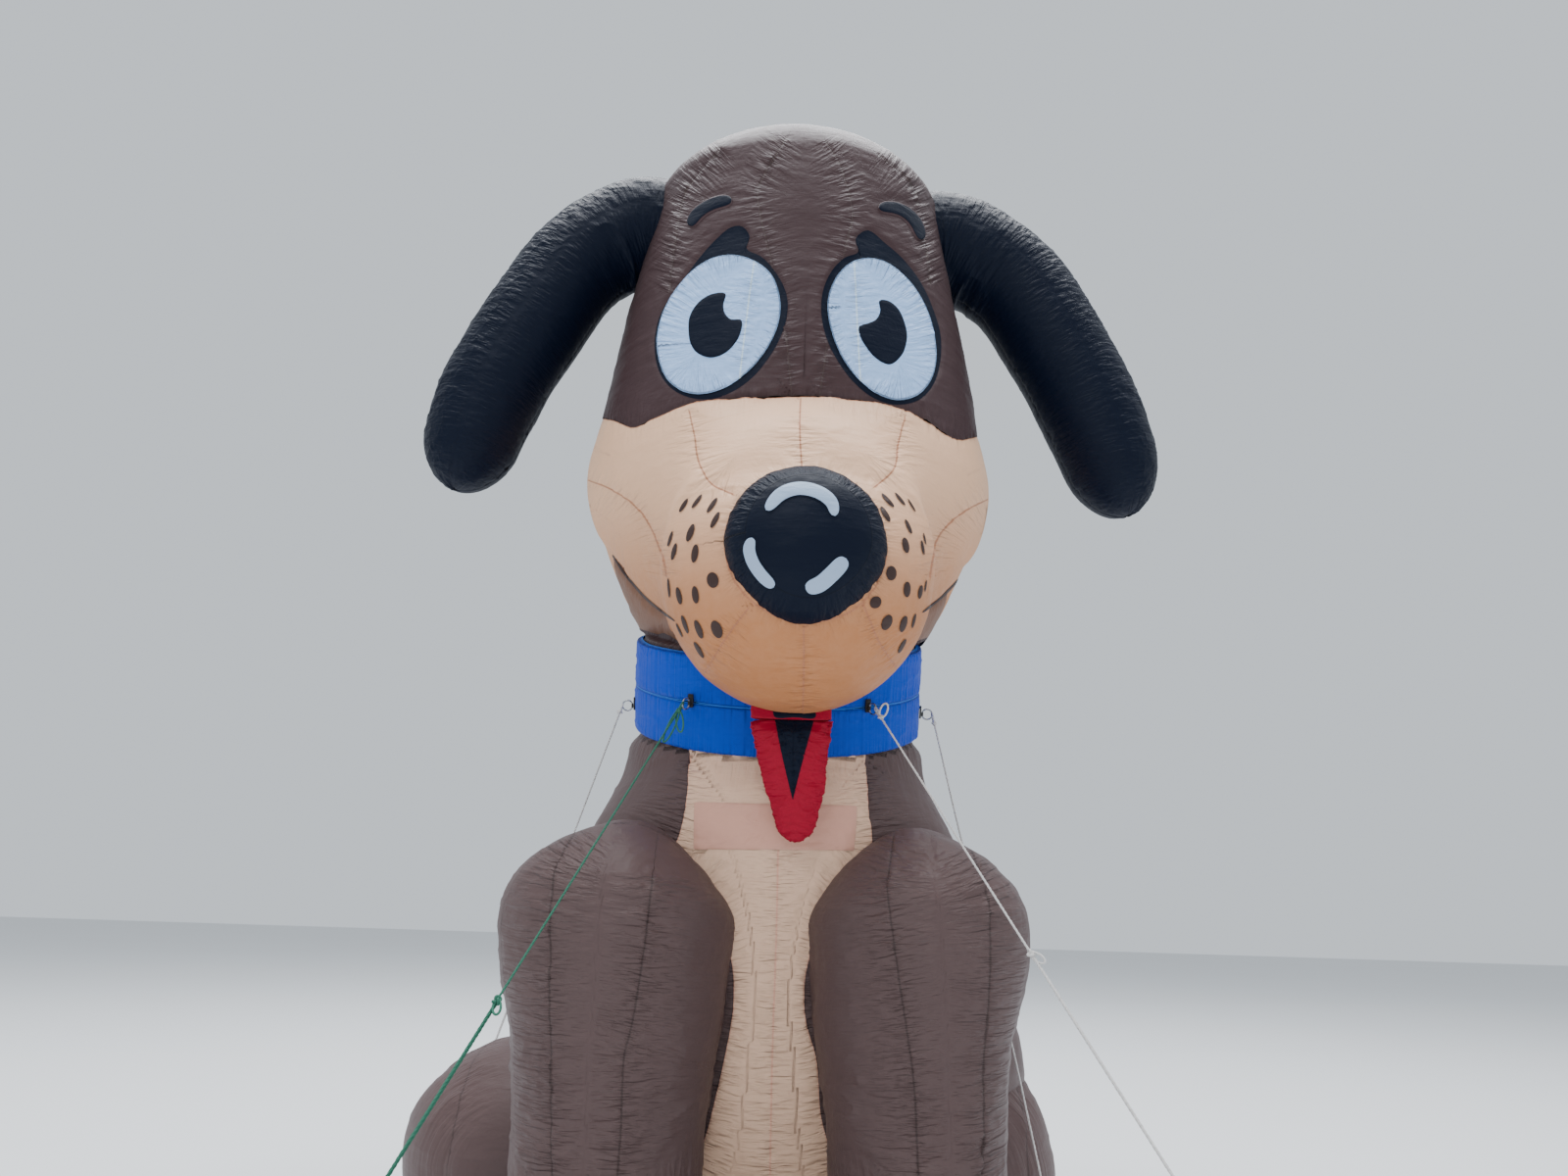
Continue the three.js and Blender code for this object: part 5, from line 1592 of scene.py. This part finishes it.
def knot(place, along, size, radius):
    """An overhand knot about a rope."""
    t = np.linspace(0, tau, 70)
    x, y = np.sin(t) + 2 * np.sin(2 * t), np.cos(t) - 2 * np.cos(2 * t)
    flat = np.stack([x, y, -1.6 * np.sin(3 * t)], axis=-1)
    turn = np.array(Vector(along).to_track_quat("Y", "Z").to_matrix())
    return tube(np.array(place) + flat * size / 3 @ turn.T, radius)


def loop(place, along, length, width, radius, lean):
    """A flat loop of rope that hangs from a place."""
    t = np.linspace(0, tau, 50)
    along = unit(np.array(along, float))
    side = unit(np.cross(along, lean))
    shape = along * (length / 2 * (1 - np.cos(t)))[:, None] + side * (width / 2 * np.sin(t))[:, None]
    return tube(np.array(place) + shape, radius, 7)


def lathe(rows, around=32):
    """Rows of radius and height turned about Z."""
    rows = np.array(rows, float)
    return plain(about_z(rows[:, :1], ring_of(around), rows[:, 1:]))


def slab(half, power):
    """A block with rounded edges."""
    t = np.linspace(-pi / 2, pi / 2, 28)[:, None]
    a = ring_of(48)
    level, high, x, y = (bent(value, 2 / power) for value in (np.cos(t), np.sin(t), np.cos(a), np.sin(a)))
    return plain(np.stack([level * x, level * y, high + 0 * a], axis=-1) * np.array(half))


def put(part, place, turn=None):
    """A mesh turned by a matrix and moved to a place."""
    data, faces = part[0].copy(), part[1]
    if turn is not None:
        data[:, :3] = data[:, :3] @ np.array(turn.to_3x3()).T
    data[:, :3] += np.array(place)
    return data, faces


def guy(name, row):
    spin = Matrix.Rotation(NECK_TILT, 4, "X") @ Matrix.Rotation(radians(row["angle"]), 4, "Z")

    def on_collar(out, aside, height):
        return np.array(spin @ Vector((out, aside, height))) + NECK_CENTRE

    high, ground = row["height"], row["ground"]
    surface = COLLAR["radius"]
    ring_at = surface + 0.0383
    turns = np.linspace(0, tau, 65)
    wire = [on_collar(ring_at + 0.026 * np.cos(t), 0, high + 0.026 * np.sin(t)) for t in turns]
    weld = 0.0012 * np.exp(-(((turns - 2.0) / 0.12) ** 2))
    shown(f"forged_tether_ring_{name}", tube(wire, 0.004 + weld, 14), f"tether_ring_{name}")

    # A webbing tab: a stitched slab on the collar, and a narrow loop of it round the ring's wire
    levels = np.linspace(-0.011, 0.011, 7)
    band = [
        [on_collar(surface + 0.0123 + 0.0062 * np.cos(a), 0.0062 * np.sin(a), high + z) for z in levels]
        for a in np.linspace(-2.1, 2.1, 17)
    ]
    tab = put(slab((0.0042, 0.015, 0.032), 9.0), on_collar(surface + 0.0035, 0, high + 0.010), spin)
    parts = [tab, plain(np.array(band), False)]
    for level in (0.020, 0.034):
        zigzag = enumerate(np.linspace(-0.012, 0.012, 25))
        thread = [on_collar(surface + 0.0080, y, high + level + 0.002 * (k % 2)) for k, y in zigzag]
        parts.append(tube(thread, 0.0009, 5))
    shown(f"webbing_tether_tab_{name}", gathered(parts), f"tether_tab_{name}")

    # The rope: a loop round the ring, a knot, the lay of three strands, and turns round the stake
    start = on_collar(ring_at + 0.026, 0, high)
    end = np.array([*ground, 0.095])
    points = np.array([start, *row["by"], end])
    first, last = unit(points[1] - points[0]), unit(points[-1] - points[-2])
    points[-1] = end - last * 0.020
    tied = start + first * 0.045
    parts = strands([points[0] + first * 0.035, *points[1:]])
    parts.append(loop(start - first * 0.012, first, 0.050, 0.026, 0.0048, (1, 0, 0)))
    parts.append(knot(tied, first, 0.011, 0.0052))
    for lean, length in row["bows"]:
        parts.append(loop(tied, unit(first + np.array(lean)), length, 0.035, 0.0046, (0.3, 1, 0)))
    if row["hitch"]:
        middle = points[0] + (points[-1] - points[0]) * row["hitch"]
        beside = np.array([0.005, 0.008, 0.0])
        parts.append(knot(middle, first, 0.015, 0.0056))
        parts.extend(strands([middle + beside, points[-1] + beside * 0.8]))
        parts.append(loop(middle, unit(first + np.array([0.5, 0, 0.2])), 0.06, 0.03, 0.0048, (0, 1, 0)))
    t = np.linspace(0, 3 * tau, 90)
    coil = np.stack([np.cos(t) * 0.0165, np.sin(t) * 0.0165, 0.070 + t / tau * 0.0125], axis=-1)
    parts.append(tube(coil + [*ground, 0.0], 0.0066))
    parts.append(knot(points[-1], last, 0.012, 0.0066))
    shown(f"laid_guy_rope_{name}", gathered(parts), f"guy_rope_{name}")

    # The stake: a driven pin with a rolled head and a collar that keeps the rope down
    shown(f"driven_ground_stake_{name}", put(lathe(STAKE), (*ground, 0.0)), f"ground_stake_{name}")


# Blower and its sleeve


def about_sleeve(radius, around, place):
    """Points at a radius and an angle round the sleeve's axis, and at a place along it."""
    x, z = SLEEVE["x"] + radius * np.cos(around), SLEEVE["z"] + radius * np.sin(around)
    return np.stack(np.broadcast_arrays(x, place, z), axis=-1)


def sleeve():
    """A fabric duct from the body over the blower's spigot, gathered under its strap."""
    around = ring_of(130)
    run = around * SLEEVE["radius"]
    high = SLEEVE["back"]
    place = np.linspace(SLEEVE["front"], high, 66)[:, None] + 0 * around
    tie = np.exp(-(((place - SLEEVE["tie"]) / 0.022) ** 2))
    slack = (1 - tie) * smooth(high, high - 0.02, place)
    relief = Relief(about_sleeve(SLEEVE["radius"] - 0.0035 * tie + 0.004 * slack, around, place))
    gather = np.exp(-np.abs(place - SLEEVE["tie"]) / 0.06)
    relief.crease(run * 3, place, 0.05, 0.010, share=gather * (1 - 0.8 * tie), long=6.0)
    relief.crease(place, run, 0.045, 0.0075, share=slack, long=2.6)
    relief.crease(place + 0.5 * run, run, 0.10, 0.008, share=slack, long=3.0)
    relief.seams_round(around, [pi / 2], SLEEVE["radius"], place, "sleeve")
    lining = plain(about_sleeve(0.099, around, place[-1:]))[0]
    data = np.vstack([columns(relief, 1.0), np.c_[lining, np.zeros((len(around), 2))]])
    padded("inflation_sleeve", (data, grid_faces(len(place) + 1, len(around))), fill=0.8)


def strap():
    """A webbing band round the sleeve, through a cam buckle, with its loose end."""
    around = np.linspace(0, tau * 1.08, 220)[:, None]
    lap = 0.0022 * smooth(tau * 0.96, tau, around)
    across = np.linspace(-1, 1, 9)
    place = SLEEVE["tie"] + across * (SLEEVE["strap_width"] / 2)
    ribs = 0.0003 * np.cos(across * 11)
    parts = []
    for gap, thick in ((0.0004, 0.0), (0.0006, 0.0026)):
        radius = SLEEVE["radius"] + gap + lap + thick
        parts.append(plain(about_sleeve(radius + ribs, around + SLEEVE["buckle_turn"], place), False))
    shown("webbing_sleeve_strap", gathered(parts), "sleeve_strap")
    turn = SLEEVE["buckle_turn"] + 0.12
    spin = Matrix.Rotation(-turn, 4, "Y")
    at = about_sleeve(SLEEVE["radius"] + 0.0085, turn, SLEEVE["tie"])
    body = put(slab((0.0045, 0.023, 0.020), 6.0), at, spin)
    raised = at + 0.005 * np.array([np.cos(turn), 0, np.sin(turn)])
    lever = put(slab((0.0030, 0.015, 0.012), 4.0), raised, spin)
    shown("strap_buckle", gathered([body, lever]), slot="galvanised_steel")


def blower_edge(x0, y0, z0):
    """The moulded lip round the housing and its outlet."""
    share = np.linspace(0, 1, 120)
    angle = -pi / 2 + share * 1.5 * pi
    radius = BLOWER["large"] + (BLOWER["small"] - BLOWER["large"]) * share + 0.001
    spiral = np.stack([0 * share + x0, y0 + np.cos(angle) * radius, z0 + np.sin(angle) * radius], axis=-1)
    lip = np.array([[x0, y0 - 0.166, z0 - 0.055], [x0, y0 - 0.20, z0 - 0.039], [x0, y0 - 0.30, z0 - 0.039]])
    floor_line = np.array([[x0, y0 - 0.30, z0 - 0.235], [x0, y0 - 0.15, z0 - 0.236], [x0, y0, z0 - 0.236]])
    parts = [tube(np.vstack([spiral, lip]), 0.0045, 10), tube(floor_line, 0.0045, 10)]
    for side in (-1, 1):
        parts.append(tube(spiral + [side * (BLOWER["half_width"] - 0.006), 0, 0], 0.0060, 10))
    shown("blower_moulded_edge", gathered(parts), slot="orange_plastic")


def blower_screws(x0, y0, z0):
    screw = lathe(SCREW, 24)
    parts = []
    for k in range(6):
        a = radians(30 + 60 * k)
        at = (x0 + BLOWER["half_width"] + 0.0043, y0 + 0.109 * np.cos(a), z0 + 0.109 * np.sin(a))
        parts.append(put(screw, at, TO_X))
    for y in (-0.11, 0.11):
        for side in (-1, 1):
            at = (x0 + side * 0.131, y0 + y, z0 - 0.214)
            parts.append(put(screw, at, Matrix.Rotation(side * pi / 2, 4, "Y")))
    shown("blower_screws", gathered(parts), slot="blower_steel")


def blower_motor(x0, y0, z0):
    """The motor: a mounting flange, cooling fins, an end cover with slots, and a box with a rocker switch."""
    low, high = -BLOWER["half_width"] - 0.0003 - 0.130, -BLOWER["half_width"] - 0.0003
    rows = [(0.0, high), (0.072, high), (0.072, high - 0.008), (0.064, high - 0.010)]
    for k in range(11):
        at = high - 0.014 - 0.0082 * k
        rows += [(0.063, at), (0.0705, at - 0.0008), (0.0705, at - 0.0030), (0.063, at - 0.0038)]
    for radius, up in ((0.062, 0.024), (0.070, 0.022), (0.0705, 0.012), (0.067, 0.005), (0.058, 0.001)):
        rows.append((radius, low + up))
    for k in range(4):
        at = 0.050 - 0.010 * k
        rows += [(at, low), (at - 0.002, low + 0.004), (at - 0.005, low + 0.004), (at - 0.007, low)]
    rows.append((0.0, low))
    shown("finned_motor", put(lathe(rows, 64), (x0, y0, z0), TO_X), "blower_motor")
    x = x0 - 0.195
    box = put(slab((0.034, 0.026, 0.014), 6.0), (x, y0, z0 + 0.080))
    plate = put(slab((0.0165, 0.0115, 0.0035), 8.0), (x, y0, z0 + 0.0945))
    rocker = put(slab((0.011, 0.0075, 0.004), 5.0), (x, y0, z0 + 0.0975), Matrix.Rotation(0.16, 4, "Y"))
    shown("motor_switch_box", gathered([box, plate, rocker]), slot="black_rubber")


def handle_ribs(x0, y0, z0):
    t = np.linspace(0, tau, 25)
    y, z = y0 + 0.0112 * np.cos(t), z0 + BLOWER["grip"] + 0.0112 * np.sin(t)
    rings = [np.stack([0 * t + x0 + x, y, z], axis=-1) for x in np.linspace(-0.045, 0.045, 16)]
    shown("handle_ribs", gathered([tube(ring, 0.0016, 6) for ring in rings]), slot="black_rubber")


crown_tree = crown()
face_tree = face()
nose_tree = nose()
eyes(crown_tree)
brows_and_marks(crown_tree, face_tree, nose_tree)
tongue()
hem(face_tree)
neck(face_tree)
collar_band("collar_lower_band", -COLLAR["half_height"], 0.0)
collar_band("collar_upper_band", 0.0, COLLAR["half_height"])
torso()
for side_name in SIGN:
    for make in (ear, front_leg, front_paw, haunch, hind_foot):
        make(side_name)
tail()
for guy_name, guy_row in GUYS.items():
    guy(guy_name, guy_row)
sleeve()
strap()
for make in (blower_edge, blower_screws, blower_motor, handle_ribs):
    make(BLOWER["x"], BLOWER["y"], BLOWER["z"])


# Floor, camera and light

floor_mesh = bpy.data.meshes.new("studio_floor")
floor_mesh.from_pydata([(-60, -60, 0), (60, -60, 0), (60, 60, 0), (-60, 60, 0)], [], [(0, 1, 2, 3)])
floor_mesh.materials.append(hard("floor_paint", (0.70, 0.71, 0.72), 0.9, scale=3.0, bump=0.0, worn=0.98))
placed("studio_floor", floor_mesh)

camera = placed("camera", bpy.data.cameras.new("camera"))
camera.data.sensor_width = SENSOR
camera.data.lens = LENS / PICTURE[0] * SENSOR
camera.data.clip_end = 400
camera.matrix_world = CAMERA
bpy.context.scene.camera = camera


def light(name, place, target, size, power, colour=(1, 1, 1)):
    lamp = placed(name, bpy.data.lights.new(name, "AREA"))
    lamp.data.shape = "DISK"
    lamp.data.size = size
    lamp.data.energy = power
    lamp.data.color = colour
    lamp.location = place
    lamp.rotation_mode = "QUATERNION"
    lamp.rotation_quaternion = (Vector(target) - Vector(place)).to_track_quat("-Z", "Y")


light("sky", (0, 1.5, 18), (0, 0, 2), 16, 6200, (0.95, 0.97, 1.0))
light("front", (-3, -13, 11), (0, 0, 3), 6, 450)
world = bpy.data.worlds.new("studio")
world.use_nodes = True
world.node_tree.nodes["Background"].inputs["Color"].default_value = (0.86, 0.93, 1.0, 1)
world.node_tree.nodes["Background"].inputs["Strength"].default_value = 0.86
bpy.context.scene.world = world

for node, cad in frame["nodes"].items():
    cad.data.materials.clear()
    cad.data.materials.append(MATERIALS[SLOT_OF[node]])
